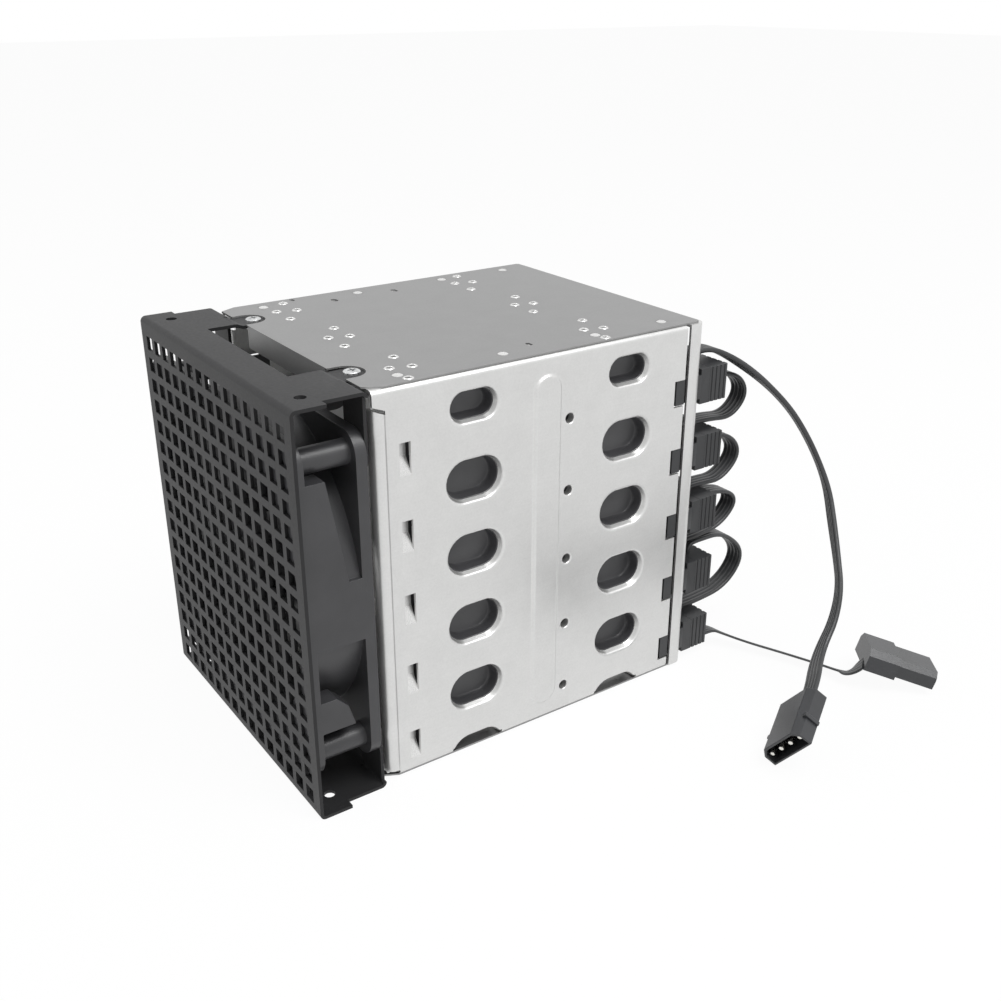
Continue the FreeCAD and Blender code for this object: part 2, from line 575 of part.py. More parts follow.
def lance(z):
    """Window near the front edge; its lower half is a tab bent inwards."""
    y, half = FRONT + LANCE_Y, LANCE_WIDTH / 2
    wall = HALF_BODY - SHEET
    window = box(wall - 1, HALF_BODY + 1, y - half, y + half, z - LANCE_HEIGHT / 2, z + LANCE_HEIGHT / 2)
    foot, top = z - LANCE_HEIGHT / 2, z - LANCE_HEIGHT / 2 + LANCE_TAB
    tab = prism([V(wall, y - half + 0.2, foot), V(wall + SHEET, y - half + 0.2, foot),
                 V(wall + SHEET - LANCE_REACH, y - half + 0.2, top),
                 V(wall - LANCE_REACH, y - half + 0.2, top)], Y * (LANCE_WIDTH - 0.4))
    return window, tab


def rib():
    """Raised bead between the two columns of slots, pressed out of the panel."""
    y, half = FRONT + RIB_Y, RIB_WIDTH / 2
    low, high = SHEET + RIB_END, BAY_WIDTH - SHEET - RIB_END
    def pad(rise, inset):
        slope = rise
        outline = [V(0, y - half + inset, 0), V(rise, y - half + inset + slope, 0),
                   V(rise, y + half - inset - slope, 0), V(0, y + half - inset, 0)]
        return prism([p + V(HALF_BODY, 0, low + inset) for p in outline], Z * (high - low - 2 * inset))
    return pad(RIB_HEIGHT, 0), pad(RIB_HEIGHT, SHEET).translated(X * -SHEET)


def side_panel():
    """Near side panel: wall, two flanges under the mounting plates, front lip, slots and windows."""
    low, high = SHEET, BAY_WIDTH - SHEET
    start, end = PANEL_FRONT, PANEL_REAR
    path = [V(HALF_BODY - PANEL_FLANGE, start, low), V(HALF_BODY, start, low), V(HALF_BODY, start, high),
            V(HALF_BODY - PANEL_FLANGE, start, high)]
    wall = bent_sheet([V(p.x, end, p.z) for p in path], SHEET, PANEL_BEND, Y * -1, end - start)
    bend = start + LIP_BEND
    slit = [V(0, start - 1, low + LIP_RELIEF - LIP_SLIT), V(0, bend, low + LIP_RELIEF),
            V(0, bend, high - LIP_RELIEF), V(0, start - 1, high - LIP_RELIEF + LIP_SLIT)]
    wall = wall.cut(prism([p + X * (HALF_BODY - 2 * SHEET) for p in slit], X * 3 * SHEET))
    lip_path = [V(HALF_BODY, bend + 1, low + LIP_RELIEF), V(HALF_BODY, start, low + LIP_RELIEF),
                V(HALF_BODY - LIP_BEND, start, low + LIP_RELIEF)]
    lip = bent_sheet(list(reversed(lip_path)), SHEET, LIP_BEND, Z, high - low - 2 * LIP_RELIEF)
    raised, hollow = rib()
    keep, holes = [raised], [hollow]
    for z, length, height in slot_rows():
        for y in (SLOT_FRONT, SLOT_REAR):
            rim, hole = dish(FRONT + y, z, length, height)
            keep.append(rim)
            holes.append(hole)
    for y in (SLOT_FRONT, SLOT_REAR):
        rim, hole = dish(FRONT + y, -SLOT_ROWS_BELOW, SLOT_LENGTH, SLOT_HEIGHT)
        above = box(0, HALF_BODY + 1, FRONT, PANEL_REAR, HALF_SLOT_FLOOR, BAY_WIDTH)
        keep.append(rim.common(above))
        holes.append(hole.common(above))
    tabs = []
    for number in range(DRIVES):
        z = FIRST_DRIVE + SIDE_HOLE_RISE + number * DRIVE_PITCH
        window, tab = lance(z)
        holes.append(window)
        tabs.append(tab)
        holes.append(bar(SIDE_HOLE_R, V(HALF_BODY - SHEET - 1, FRONT + SIDE_HOLE_Y, z), X, SHEET + 2))
        z = connector_height(number + 1)
        holes.append(box(HALF_BODY - SHEET - 1, HALF_BODY + 1, end - NOTCH_LENGTH, end + 1,
                         z - NOTCH_HEIGHT / 2, z + NOTCH_HEIGHT / 2))
    return wall.fuse([lip] + keep).cut(holes).fuse(tabs).removeSplitter()


def mount_holes():
    """Tapped holes for the host's bays: the four outermost ones, which fix the cage, and the spare ones."""
    fixing, spare = [], []
    for bay in (-1, 0, 1):
        for depth in (0, MOUNT_SET_SPACING):
            x, y = bay * BAY_PITCH + MOUNT_OFFSET, FRONT + MOUNT_FRONT + depth
            (fixing if bay else spare).append((x, y))
            spare.append((x + MOUNT_PAIR, y))
            spare.append((x - MOUNT_SHIFT, y + MOUNT_ROW_STEP))
            spare.append((x - MOUNT_SHIFT + MOUNT_PAIR, y + MOUNT_ROW_STEP))
    return fixing, spare


def mounting_plate():
    """Upper plate: it laps over the side panels' flanges and holds the tapped bay mounts."""
    half, under, top = PLATE_WIDTH / 2, BAY_WIDTH - SHEET, BAY_WIDTH
    front, rear = PLATE_FRONT, PLATE_FRONT + PLATE_LENGTH
    corner = 3.0
    sheet = prism([V(-half + corner, front, under), V(half - corner, front, under),
                   V(half, front + 2 * corner, under), V(half, rear, under), V(-half, rear, under),
                   V(-half, front + 2 * corner, under)], Z * SHEET)
    tuck = box(-TUCK_HALF_WIDTH, TUCK_HALF_WIDTH, front, front + SHEET, top - TUCK_HEIGHT, top)
    cuts = []
    for x in (-BRACKET_SCREW_X, BRACKET_SCREW_X):
        round_end = front + NOTCH_DEPTH - NOTCH_R
        cuts.append(rod(NOTCH_R, V(x, round_end, under), Z, SHEET))
        cuts.append(box(x - NOTCH_R, x + NOTCH_R, front, round_end, under, top))
    fixing, spare = mount_holes()
    cuts += [rod(MOUNT_HOLE_R, V(x, y, under), Z, SHEET) for x, y in fixing]
    cuts += [bar(MOUNT_HOLE_R, V(x, y, under), Z, SHEET, 6) for x, y in spare]
    return sheet.fuse(tuck).cut(cuts).removeSplitter()


def front_rail():
    """Strip inside the upper plate that the bracket's screws draw up against its tabs."""
    top = BAY_WIDTH - SHEET - BRACKET_SHEET
    y = PANEL_FRONT + 0.4
    rail = box(-RAIL_LENGTH / 2, RAIL_LENGTH / 2, y, y + RAIL_WIDTH, top - SHEET, top)
    return rail.cut(both_sides(bar(SCREW_R, V(BRACKET_SCREW_X, FRONT + BRACKET_SCREW_Y, top - SHEET), Z, SHEET)))


def rear_frame():
    """Open rectangular frame behind the panels, notched for the connectors' arms."""
    low, high = SHEET, BAY_WIDTH - SHEET
    outer = box(-HALF_BODY, HALF_BODY, FRAME_FRONT, FRAME_REAR, low, high)
    corners = [e for e in outer.Edges if abs(e.tangentAt(e.FirstParameter).dot(Z)) > 0.99
               and e.CenterOfMass.y > FRAME_REAR - 1e-6]
    outer = outer.makeFillet(FRAME_BEND, corners)
    inner = box(-HALF_BODY + SHEET, HALF_BODY - SHEET, FRAME_FRONT, FRAME_REAR - SHEET, low + SHEET, high - SHEET)
    corners = [e for e in inner.Edges if abs(e.tangentAt(e.FirstParameter).dot(Z)) > 0.99
               and e.CenterOfMass.y > FRAME_REAR - SHEET - 1e-6]
    inner = inner.makeFillet(FRAME_BEND - SHEET, corners)
    opening = box(-HALF_BODY + FRAME_FLANGE, HALF_BODY - FRAME_FLANGE, FRAME_FRONT, FRAME_REAR,
                  low + FRAME_FLANGE / 2, high - FRAME_FLANGE / 2)
    notches = []
    for number in range(1, DRIVES + 1):
        z, reach = connector_height(number), ARM_HEIGHT / 2 + ARM_PLAY
        notches.append(box(HALF_BODY - FRAME_FLANGE - 1, HALF_BODY - SHEET, FRAME_REAR - FRAME_BEND,
                           FRAME_REAR, z - reach, z + reach))
    return outer.cut([inner, opening] + notches).removeSplitter()


# ---- connectors ------------------------------------------------------------------------------
def holder_span():
    return HOLDER_OUTER - HOLDER_WIDTH, HOLDER_OUTER


def tongue_middle():
    return HOLDER_OUTER - HOLDER_WIDTH + TONGUE_OFFSET + TONGUE_WIDTH / 2


def connector_housing(z):
    """Front half of one drive connector, with the arm that clips it into the side panel."""
    x0, x1 = holder_span()
    y0 = FRONT + HOLDER_START
    y1 = y0 + HOLDER_LENGTH
    half = HOLDER_HEIGHT / 2
    body = box(x0, x1, y0, y1, z - half, z + half)
    arm_outer = HALF_BODY - SHEET - ARM_PLAY
    arm = box(arm_outer - ARM_THICKNESS, arm_outer, y0 - ARM_LENGTH, y0, z - ARM_HEIGHT / 2, z + ARM_HEIGHT / 2)
    nub_start = PANEL_REAR - NOTCH_LENGTH + ARM_PLAY
    nub = box(arm_outer, HALF_BODY - ARM_PLAY, nub_start, nub_start + NOTCH_LENGTH - 2 * ARM_PLAY,
              z - ARM_HEIGHT / 2, z + ARM_HEIGHT / 2)
    middle = tongue_middle()
    slot = box(middle - TONGUE_WIDTH / 2, middle + TONGUE_WIDTH / 2, y0, y0 + TONGUE_DEPTH,
               z - TONGUE_HEIGHT / 2, z + TONGUE_HEIGHT / 2)
    key = box(middle - TONGUE_WIDTH / 2, middle - TONGUE_WIDTH / 2 + 1.4, y0, y0 + TONGUE_DEPTH,
              z - TONGUE_HEIGHT / 2 - 1.6, z)
    return body.fuse([arm, nub]).cut([slot, key]).removeSplitter()


def connector_cap(z):
    """Clamp cap that presses the ribbon on to the contacts' forks."""
    x0, x1 = holder_span()
    y0 = FRONT + HOLDER_START + HOLDER_LENGTH
    half, chamfer = HOLDER_HEIGHT / 2, CAP_CHAMFER
    outline = [V(x0, y0, z - half), V(x0, CAP_REAR - chamfer, z - half), V(x0, CAP_REAR, z - half + chamfer),
               V(x0, CAP_REAR, z + half - chamfer), V(x0, CAP_REAR - chamfer, z + half), V(x0, y0, z + half)]
    return prism(outline, X * HOLDER_WIDTH)


def connector_contacts(z):
    """Flat contact springs along the tongue slot, each one ganged for three of the drive's pads."""
    y0 = FRONT + HOLDER_START
    strips = []
    for number in range(CONTACTS):
        x = tongue_middle() + (number - (CONTACTS - 1) / 2) * CONTACT_PITCH
        strips.append(box(x - CONTACT_WIDTH / 2, x + CONTACT_WIDTH / 2, y0 + 0.6, y0 + TONGUE_DEPTH,
                          z + TONGUE_HEIGHT / 2 - CONTACT_THICKNESS, z + TONGUE_HEIGHT / 2))
    return strips


# ---- ribbon loops ----------------------------------------------------------------------------
def natural_radii(points):
    """Radius at each inner point: as large as its two runs allow."""
    radii = []
    for before, corner, after in zip(points, points[1:], points[2:]):
        shorter = min((corner - before).Length, (after - corner).Length)
        turn = (corner - before).getAngle(after - corner)
        radii.append(0.45 * shorter / math.tan(turn / 2))
    return radii


def ribbon(route):
    """Flat ribbon of constant width standing on a route of (y, z) points behind the cage."""
    points = [V(RIBBON_OUTER - RIBBON_WIDTH, CAP_REAR + y, z) for y, z in route]
    line = [points[0]]
    for before, corner, after, radius in zip(points, points[1:], points[2:], natural_radii(points)):
        start, middle, end = tangent_arc(before, corner, after, radius)
        line += Part.Arc(start, middle, end).toShape().discretize(BEND_FACETS + 1)
    line.append(points[-1])
    line = [p for p, q in zip(line, line[1:]) if (q - p).Length > 1e-3] + line[-1:]
    half = RIBBON_THICKNESS / 2
    return prism(offset_line(line, half, X) + list(reversed(offset_line(line, -half, X))), X * RIBBON_WIDTH)


def entry_height(number):
    """Top of connector `number`, where its incoming ribbon dives in."""
    return connector_height(number) + HOLDER_HEIGHT / 2


LOOP_STEP = 5.0              # a ribbon that leaves a housing's top, behind the one that enters
ENTRY = -CAP_LENGTH - HOLDER_LENGTH / 2        # where ribbons enter a housing, from the caps' rear


def loop_routes():
    """Each loop leaves one connector, swings out and comes back over the next one down."""
    one, two, three, four, five = (connector_height(number) for number in range(1, DRIVES + 1))
    top2, top3, top4, top5 = (entry_height(number) for number in range(2, DRIVES + 1))
    start = ENTRY + LOOP_STEP
    return [
        [(0, one), (11.6, one), (20.6, (one + two) / 2 + 3.575), (12.6, top2 + 0.65), (-0.4, top2 + 2.45),
         (ENTRY, top2 + 2.45), (ENTRY, top2)],
        [(0, two + 1.8), (10.1, two + 1.8), (19.6, (two + three) / 2 + 5.075), (10.1, top3 + 1.65),
         (-1.4, top3 + 2.35), (ENTRY, top3 + 2.35), (ENTRY, top3)],
        [(0, three + 3.8), (11.1, three + 3.8), (20.1, (three + four) / 2 + 10.575), (11.1, top4 + 7.65),
         (-3.4, top4 + 6.25), (ENTRY, top4 + 6.05), (ENTRY, top4)],
        [(start, top4), (start, top4 + 3.4), (-0.9, top4 + 3.95), (13.6, top4 + 3.65),
         (27.6, (four + five) / 2 + 11.025), (17.6, top5 + 4.2), (-0.4, top5 + 2.2), (ENTRY, top5 + 2.6),
         (ENTRY, top5)],
    ]


# ---- free cords ------------------------------------------------------------------------------
def cord(route):
    """Flat ribbon along a free route, its length and the radii of its arcs."""
    points, radii = route, natural_radii(route)
    ahead = (points[1] - points[0]).normalize()
    flat = ahead.cross(X).normalize()
    across, through = flat.cross(ahead) * (CORD_WIDTH / 2), flat * (CORD_THICKNESS / 2)
    start = points[0]
    section = [start - across - through, start + across - through,
               start + across + through, start - across + through]
    length = sum(edge.Length for edge in rounded_edges(points, radii))
    return swept(section, points, radii), length, radii


# Points of the two free ribbons, chosen by hand.  Each ends square to the rear of its connector.
PLUG_AXIS, PLUG_ACROSS = V(0.478, -0.851, -0.220), V(0.614, 0.146, 0.775)
TAIL_AXIS, TAIL_ACROSS = V(0.672, 0.687, -0.276), V(0.735, -0.664, 0.136)
SUPPLY_EXIT = V(HOLDER_OUTER - 11.0, CAP_REAR - CAP_LENGTH - 2.1, entry_height(1))
TAIL_EXIT = V(HOLDER_OUTER - 4.0, CAP_REAR, connector_height(DRIVES) - 3.3)
SUPPLY_END, SUPPLY_RUN = V(SUPPLY_EXIT.x + 78.7, CAP_REAR - 15.4, 18.7), 8.0
TAIL_END, TAIL_RUN = V(TAIL_EXIT.x + 58.2, CAP_REAR + 34.3, 13.4), 5.5
SUPPLY_ROUTE = [SUPPLY_EXIT + V(*step) for step in (
    (0, 0, 0), (0, 0, 3.2), (0.1, 5.4, 4.4), (0.5, 12.3, 3.2), (3.8, 21.1, -1.6),
)] + [V(SUPPLY_EXIT.x + x, CAP_REAR + y, z) for x, y, z in (
    (11.0, 18.6, 116.8), (18.0, 27.5, 106.0), (23.5, 33.1, 95.0), (29.0, 36.7, 83.5), (34.5, 37.3, 73.5),
    (41.0, 34.3, 62.5), (48.5, 30.1, 51.8), (55.5, 25.6, 41.8), (60.0, 18.5, 31.5), (62.6, 9.6, 24.0),
    (67.8, 0.8, 21.2),
)] + [SUPPLY_END - PLUG_AXIS * SUPPLY_RUN, SUPPLY_END]
TAIL_ROUTE = [TAIL_EXIT, TAIL_EXIT + Y * 4.7] + [V(TAIL_EXIT.x + x, CAP_REAR + y, z) for x, y, z in (
    (4.6, 9.5, 5.0), (13.5, 15.1, 3.2), (25.5, 21.0, 2.7), (36.0, 24.7, 3.6), (43.5, 26.7, 6.8),
    (48.8, 27.9, 11.4),
)] + [TAIL_END - TAIL_AXIS * TAIL_RUN, TAIL_END]


def frame_vectors(along, width):
    """Unit vectors along a connector, across its width and through its thickness."""
    axis = V(along).normalize()
    across = (width - axis * width.dot(axis)).normalize()
    return axis, across, axis.cross(across)


def plug_frame():
    """Middle of the plug's rear face and its directions; the ribbon enters to one side."""
    vectors = frame_vectors(PLUG_AXIS, PLUG_ACROSS)
    return SUPPLY_END - vectors[1] * PLUG_ENTRY, vectors


def tail_frame():
    vectors = frame_vectors(TAIL_AXIS, TAIL_ACROSS)
    return TAIL_END - vectors[1] * TAIL_ENTRY, vectors


def oriented_block(start, vectors, length, width, thickness, chamfer, shift=0.0):
    """Bar with two chamfered edges on one broad side, running from `start` along the axis."""
    axis, across, through = vectors
    half, thick = width / 2, thickness / 2
    outline = [(-half, -thick), (half, -thick), (half, thick - chamfer), (half - chamfer, thick),
               (-half + chamfer, thick), (-half, thick - chamfer)]
    corner = [start + axis * shift + across * u + through * v for u, v in outline]
    return prism(corner, axis * length)


def pin_places(middle, vectors):
    return [middle + vectors[1] * ((number - (PINS - 1) / 2) * PIN_PITCH) for number in range(PINS)]


def supply_plug():
    """Open shroud of the four-pin supply plug."""
    start, vectors = plug_frame()
    body = oriented_block(start, vectors, PLUG_LENGTH, PLUG_WIDTH, PLUG_THICKNESS, PLUG_CHAMFER)
    hollow = oriented_block(start, vectors, PLUG_DEPTH, PLUG_WIDTH - 2 * PLUG_WALL,
                            PLUG_THICKNESS - 2 * PLUG_WALL, PLUG_CHAMFER - PLUG_WALL / 2,
                            PLUG_LENGTH - PLUG_DEPTH)
    return body.cut(hollow).removeSplitter()


def plug_pins():
    start, vectors = plug_frame()
    seat = start + vectors[0] * (PLUG_LENGTH - PLUG_DEPTH)
    return compound([bar(PIN_R, place, vectors[0], PIN_LENGTH) for place in pin_places(seat, vectors)])


def tail_socket():
    """Stepped four-way connector on the tail ribbon, bored for its barrels."""
    start, vectors = tail_frame()
    nose_start = TAIL_LENGTH - TAIL_NOSE
    rear = oriented_block(start, vectors, nose_start, TAIL_WIDTH, TAIL_THICKNESS, PLUG_CHAMFER)
    nose = oriented_block(start, vectors, TAIL_NOSE, TAIL_WIDTH - 2 * TAIL_STEP, TAIL_THICKNESS - 2 * TAIL_STEP,
                          PLUG_CHAMFER - TAIL_STEP / 2, nose_start)
    seat = start + vectors[0] * (TAIL_LENGTH - SOCKET_DEPTH)
    bores = [bar(SOCKET_BARREL_R, place, vectors[0], SOCKET_DEPTH) for place in pin_places(seat, vectors)]
    return rear.fuse(nose).cut(bores).removeSplitter()


def tail_contacts():
    start, vectors = tail_frame()
    seat, depth = start + vectors[0] * (TAIL_LENGTH - SOCKET_DEPTH), SOCKET_DEPTH - SOCKET_RECESS
    return compound([bar(SOCKET_BARREL_R, place, vectors[0], depth).cut(bar(SOCKET_R, place, vectors[0], depth))
                     for place in pin_places(seat, vectors)])


# ---- export ----------------------------------------------------------------------------------
def main():
    os.makedirs("parts", exist_ok=True)
    save("front_bracket", front_bracket())
    save("bracket_screws", bracket_screws())
    save("fan_frame", fan_frame())
    save("fan_rotor", fan_rotor())
    save("fan_shaft", fan_shaft())
    save("fan_bearing", fan_bearing())
    save("fan_stator", fan_stator())
    save("fan_windings", fan_windings())
    save("fan_magnet_ring", fan_magnet_ring())
    save("fan_circuit_board", fan_circuit_board())
    panel = side_panel()
    save("right_side_panel", panel)
    save("left_side_panel", mirrored(panel, X))
    pads = drive_pads()
    save("right_drive_pads", pads)
    save("left_drive_pads", mirrored(pads, X))
    for name, piece in (("plate", mounting_plate()), ("front_rail", front_rail())):
        save("top_" + name, piece)
        save("bottom_" + name, mirrored(piece, Z, MIDDLE))
    save("rear_frame", rear_frame())
    contacts = []
    for number in range(1, DRIVES + 1):
        z = connector_height(number)
        save("connector_housing_%d" % number, connector_housing(z))
        save("connector_cap_%d" % number, connector_cap(z))
        contacts += connector_contacts(z)
    save("connector_contacts", compound(contacts))
    for number, route in enumerate(loop_routes(), 1):
        save("ribbon_loop_%d" % number, ribbon(route))
    for name, route in (("supply_ribbon", SUPPLY_ROUTE), ("tail_ribbon", TAIL_ROUTE)):
        tube, length, radii = cord(route)
        section = CORD_WIDTH * CORD_THICKNESS
        print(name, "length %.1f" % length, "volume ratio %.4f" % (tube.Volume / (section * length)),
              "radii", [round(r, 1) for r in radii])
        save(name, tube)
    save("supply_plug", supply_plug())
    save("plug_pins", plug_pins())
    save("tail_socket", tail_socket())
    save("tail_contacts", tail_contacts())


main()
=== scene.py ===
"""Looks of a hot swap drive cage: plated sheet, black grille, moulded fan, connectors and flat leads.

Lengths are written in millimetres and turned to metres when a piece is finished.
"""
import json
import math

import bmesh
import bpy
from mathutils import Matrix, Vector


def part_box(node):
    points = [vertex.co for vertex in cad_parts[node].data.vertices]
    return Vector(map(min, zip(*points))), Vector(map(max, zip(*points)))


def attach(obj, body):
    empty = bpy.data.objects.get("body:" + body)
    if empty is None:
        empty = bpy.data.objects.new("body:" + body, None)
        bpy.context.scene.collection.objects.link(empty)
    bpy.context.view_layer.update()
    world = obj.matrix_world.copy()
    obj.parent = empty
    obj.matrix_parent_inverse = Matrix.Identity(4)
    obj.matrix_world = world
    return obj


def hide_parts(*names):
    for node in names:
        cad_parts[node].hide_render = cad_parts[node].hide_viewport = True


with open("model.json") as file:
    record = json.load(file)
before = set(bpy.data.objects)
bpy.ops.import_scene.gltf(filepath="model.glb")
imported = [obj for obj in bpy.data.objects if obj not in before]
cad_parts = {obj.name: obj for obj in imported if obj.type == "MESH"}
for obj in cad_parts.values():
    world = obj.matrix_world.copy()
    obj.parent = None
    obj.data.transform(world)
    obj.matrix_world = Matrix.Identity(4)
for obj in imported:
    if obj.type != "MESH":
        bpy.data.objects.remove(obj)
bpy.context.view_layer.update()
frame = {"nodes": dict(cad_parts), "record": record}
nodes = frame["nodes"]

MM = 0.001
X, Y, Z = Vector((1, 0, 0)), Vector((0, 1, 0)), Vector((0, 0, 1))


def reach(node_name):
    """Lowest and highest corner of a CAD node, in millimetres."""
    low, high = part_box(node_name)
    return Vector(low) / MM, Vector(high) / MM


# ---- places, read from the CAD nodes ----------------------------------------------------------
FRONT = reach("front_bracket")[0].y
MIDDLE = reach("front_bracket")[1].z / 2
PLATE_TOP = reach("top_plate")[1].z
PLATE_LOW, PLATE_HIGH = reach("top_plate")
PANEL_LOW, PANEL_HIGH = reach("right_side_panel")
WALL = -reach("rear_frame")[0].x
CAP_REAR = reach("connector_cap_1")[1].y
DRIVE_PITCH, DRIVES = 27.15, 5
BAY_PITCH = (reach("front_bracket")[1].x - reach("front_bracket")[0].x) / 3


# ---- materials --------------------------------------------------------------------------------
def linear(hex_colour):
    """sRGB hex as linear red, green, blue and alpha."""
    channels = []
    for start in (1, 3, 5):
        value = int(hex_colour[start:start + 2], 16) / 255
        channels.append(value / 12.92 if value <= 0.04045 else ((value + 0.055) / 1.055) ** 2.4)
    return (*channels, 1.0)


def add(tree, kind, inputs=None, **settings):
    """Adds a node with its settings; each input is a value or another node's output."""
    made = tree.nodes.new(kind)
    for name, value in settings.items():
        setattr(made, name, value)
    for name, value in (inputs or {}).items():
        if isinstance(value, bpy.types.NodeSocket):
            tree.links.new(value, made.inputs[name])
        else:
            made.inputs[name].default_value = value
    return made


def blank(name):
    """New material with an empty tree and its object coordinates."""
    material = bpy.data.materials.new(name)
    material.use_nodes = True
    tree = material.node_tree
    tree.nodes.clear()
    place = add(tree, "ShaderNodeTexCoord").outputs["Object"]
    return material, tree, place


def per_metre(grain_mm):
    """Texture scale that gives a pattern of that size."""
    return 1 / (grain_mm * MM)


def blend_colours(tree, factor, low, high, dark, light):
    """Two sRGB colours mixed by a factor that runs between low and high."""
    ramp = add(tree, "ShaderNodeValToRGB", {"Fac": factor})
    ramp.color_ramp.elements[0].position = low
    ramp.color_ramp.elements[0].color = linear(dark)
    ramp.color_ramp.elements[1].position = high
    ramp.color_ramp.elements[1].color = linear(light)
    return ramp.outputs["Color"]


def surface(tree, inputs):
    """Principled surface joined to the output."""
    shader = add(tree, "ShaderNodeBsdfPrincipled", inputs)
    add(tree, "ShaderNodeOutputMaterial", {"Surface": shader.outputs["BSDF"]})


def powder_coated_steel():
    """Satin black powder coat: faint orange peel and a slightly uneven, soft sheen."""
    material, tree, place = blank("satin_black_powder_coat")
    peel = add(tree, "ShaderNodeTexNoise", {"Vector": place, "Scale": per_metre(1.1), "Detail": 3.0})
    cloud = add(tree, "ShaderNodeTexNoise", {"Vector": place, "Scale": per_metre(28), "Detail": 2.0})
    colour = blend_colours(tree, cloud.outputs["Fac"], 0.3, 0.7, "#262627", "#2c2c2d")
    rough = add(tree, "ShaderNodeMapRange", {"Value": peel.outputs["Fac"], "To Min": 0.42, "To Max": 0.56})
    bump = add(tree, "ShaderNodeBump", {"Height": peel.outputs["Fac"], "Strength": 0.25, "Distance": 0.00012})
    surface(tree, {"Base Color": colour, "Roughness": rough.outputs["Result"],
                   "Normal": bump.outputs["Normal"], "Specular IOR Level": 0.25})
    return material


def plated_sheet(name, dark, light, roughness):
    """Zinc-plated rolled steel: matt metal with a cloudy crystal mottle and fine rolling lines."""
    material, tree, place = blank(name)
    cloud = add(tree, "ShaderNodeTexNoise", {"Vector": place, "Scale": per_metre(9), "Detail": 5.0,
                                             "Roughness": 0.6})
    speckle = add(tree, "ShaderNodeTexNoise", {"Vector": place, "Scale": per_metre(0.7), "Detail": 2.0})
    stretched = add(tree, "ShaderNodeMapping", {"Vector": place, "Scale": (1600.0, 60.0, 1600.0)})
    lines = add(tree, "ShaderNodeTexNoise", {"Vector": stretched.outputs["Vector"], "Scale": 1.0})
    faint = add(tree, "ShaderNodeMath", {0: lines.outputs["Fac"], 1: 0.35}, operation="MULTIPLY")
    grain = add(tree, "ShaderNodeMath", {0: speckle.outputs["Fac"], 1: faint.outputs["Value"]}, operation="ADD")
    mixed = add(tree, "ShaderNodeMath", {0: grain.outputs["Value"], 1: cloud.outputs["Fac"]}, operation="ADD")
    share = add(tree, "ShaderNodeMath", {0: mixed.outputs["Value"], 1: 1 / 2.35}, operation="MULTIPLY")
    colour = blend_colours(tree, share.outputs["Value"], 0.3, 0.7, dark, light)
    rough = add(tree, "ShaderNodeMapRange", {"Value": cloud.outputs["Fac"], "To Min": roughness - 0.03,
                                             "To Max": roughness + 0.04})
    bump = add(tree, "ShaderNodeBump", {"Height": grain.outputs["Value"], "Strength": 0.12,
                                        "Distance": 0.00005})
    surface(tree, {"Base Color": colour, "Roughness": rough.outputs["Result"], "Metallic": 0.85,
                   "Normal": bump.outputs["Normal"]})
    return material


def moulded(name, dark, light, grain_mm, roughness, depth=0.00006):
    """Injection-moulded plastic: fine spark-eroded texture and a low, even sheen."""
    material, tree, place = blank(name)
    grain = add(tree, "ShaderNodeTexNoise", {"Vector": place, "Scale": per_metre(grain_mm), "Detail": 3.0})
    flow = add(tree, "ShaderNodeTexNoise", {"Vector": place, "Scale": per_metre(14), "Detail": 2.0})
    colour = blend_colours(tree, flow.outputs["Fac"], 0.3, 0.7, dark, light)
    rough = add(tree, "ShaderNodeMapRange", {"Value": grain.outputs["Fac"], "To Min": roughness - 0.05,
                                             "To Max": roughness + 0.07})
    bump = add(tree, "ShaderNodeBump", {"Height": grain.outputs["Fac"], "Strength": 0.35, "Distance": depth})
    surface(tree, {"Base Color": colour, "Roughness": rough.outputs["Result"],
                   "Normal": bump.outputs["Normal"], "IOR": 1.55})
    return material


def machined(name, dark, light, pitch_mm, roughness, along="Y"):
    """Bare worked metal with fine parallel tool marks round or along the part."""
    material, tree, place = blank(name)
    marks = add(tree, "ShaderNodeTexWave", {"Vector": place, "Scale": per_metre(pitch_mm) / 20,
                                            "Distortion": 1.2, "Detail": 2.0}, bands_direction=along)
    tint = add(tree, "ShaderNodeTexNoise", {"Vector": place, "Scale": per_metre(2.5), "Detail": 3.0})
    colour = blend_colours(tree, tint.outputs["Fac"], 0.3, 0.7, dark, light)
    rough = add(tree, "ShaderNodeMapRange", {"Value": marks.outputs["Fac"], "To Min": roughness - 0.05,
                                             "To Max": roughness + 0.1})
    bump = add(tree, "ShaderNodeBump", {"Height": marks.outputs["Fac"], "Strength": 0.3, "Distance": 0.00004})
    surface(tree, {"Base Color": colour, "Roughness": rough.outputs["Result"], "Metallic": 1.0,
                   "Normal": bump.outputs["Normal"]})
    return material


def enamelled_winding():
    """Enamelled copper wire laid side by side: warm red-brown with a line at every turn."""
    material, tree, place = blank("enamelled_copper_winding")
    turns = add(tree, "ShaderNodeTexWave", {"Vector": place, "Scale": per_metre(0.35) / 20,
                                            "Distortion": 0.6}, bands_direction="Y")
    colour = blend_colours(tree, turns.outputs["Fac"], 0.2, 0.8, "#5b2a14", "#b06a38")
    bump = add(tree, "ShaderNodeBump", {"Height": turns.outputs["Fac"], "Strength": 0.8, "Distance": 0.0001})
    surface(tree, {"Base Color": colour, "Roughness": 0.32, "Metallic": 0.7, "Normal": bump.outputs["Normal"]})
    return material


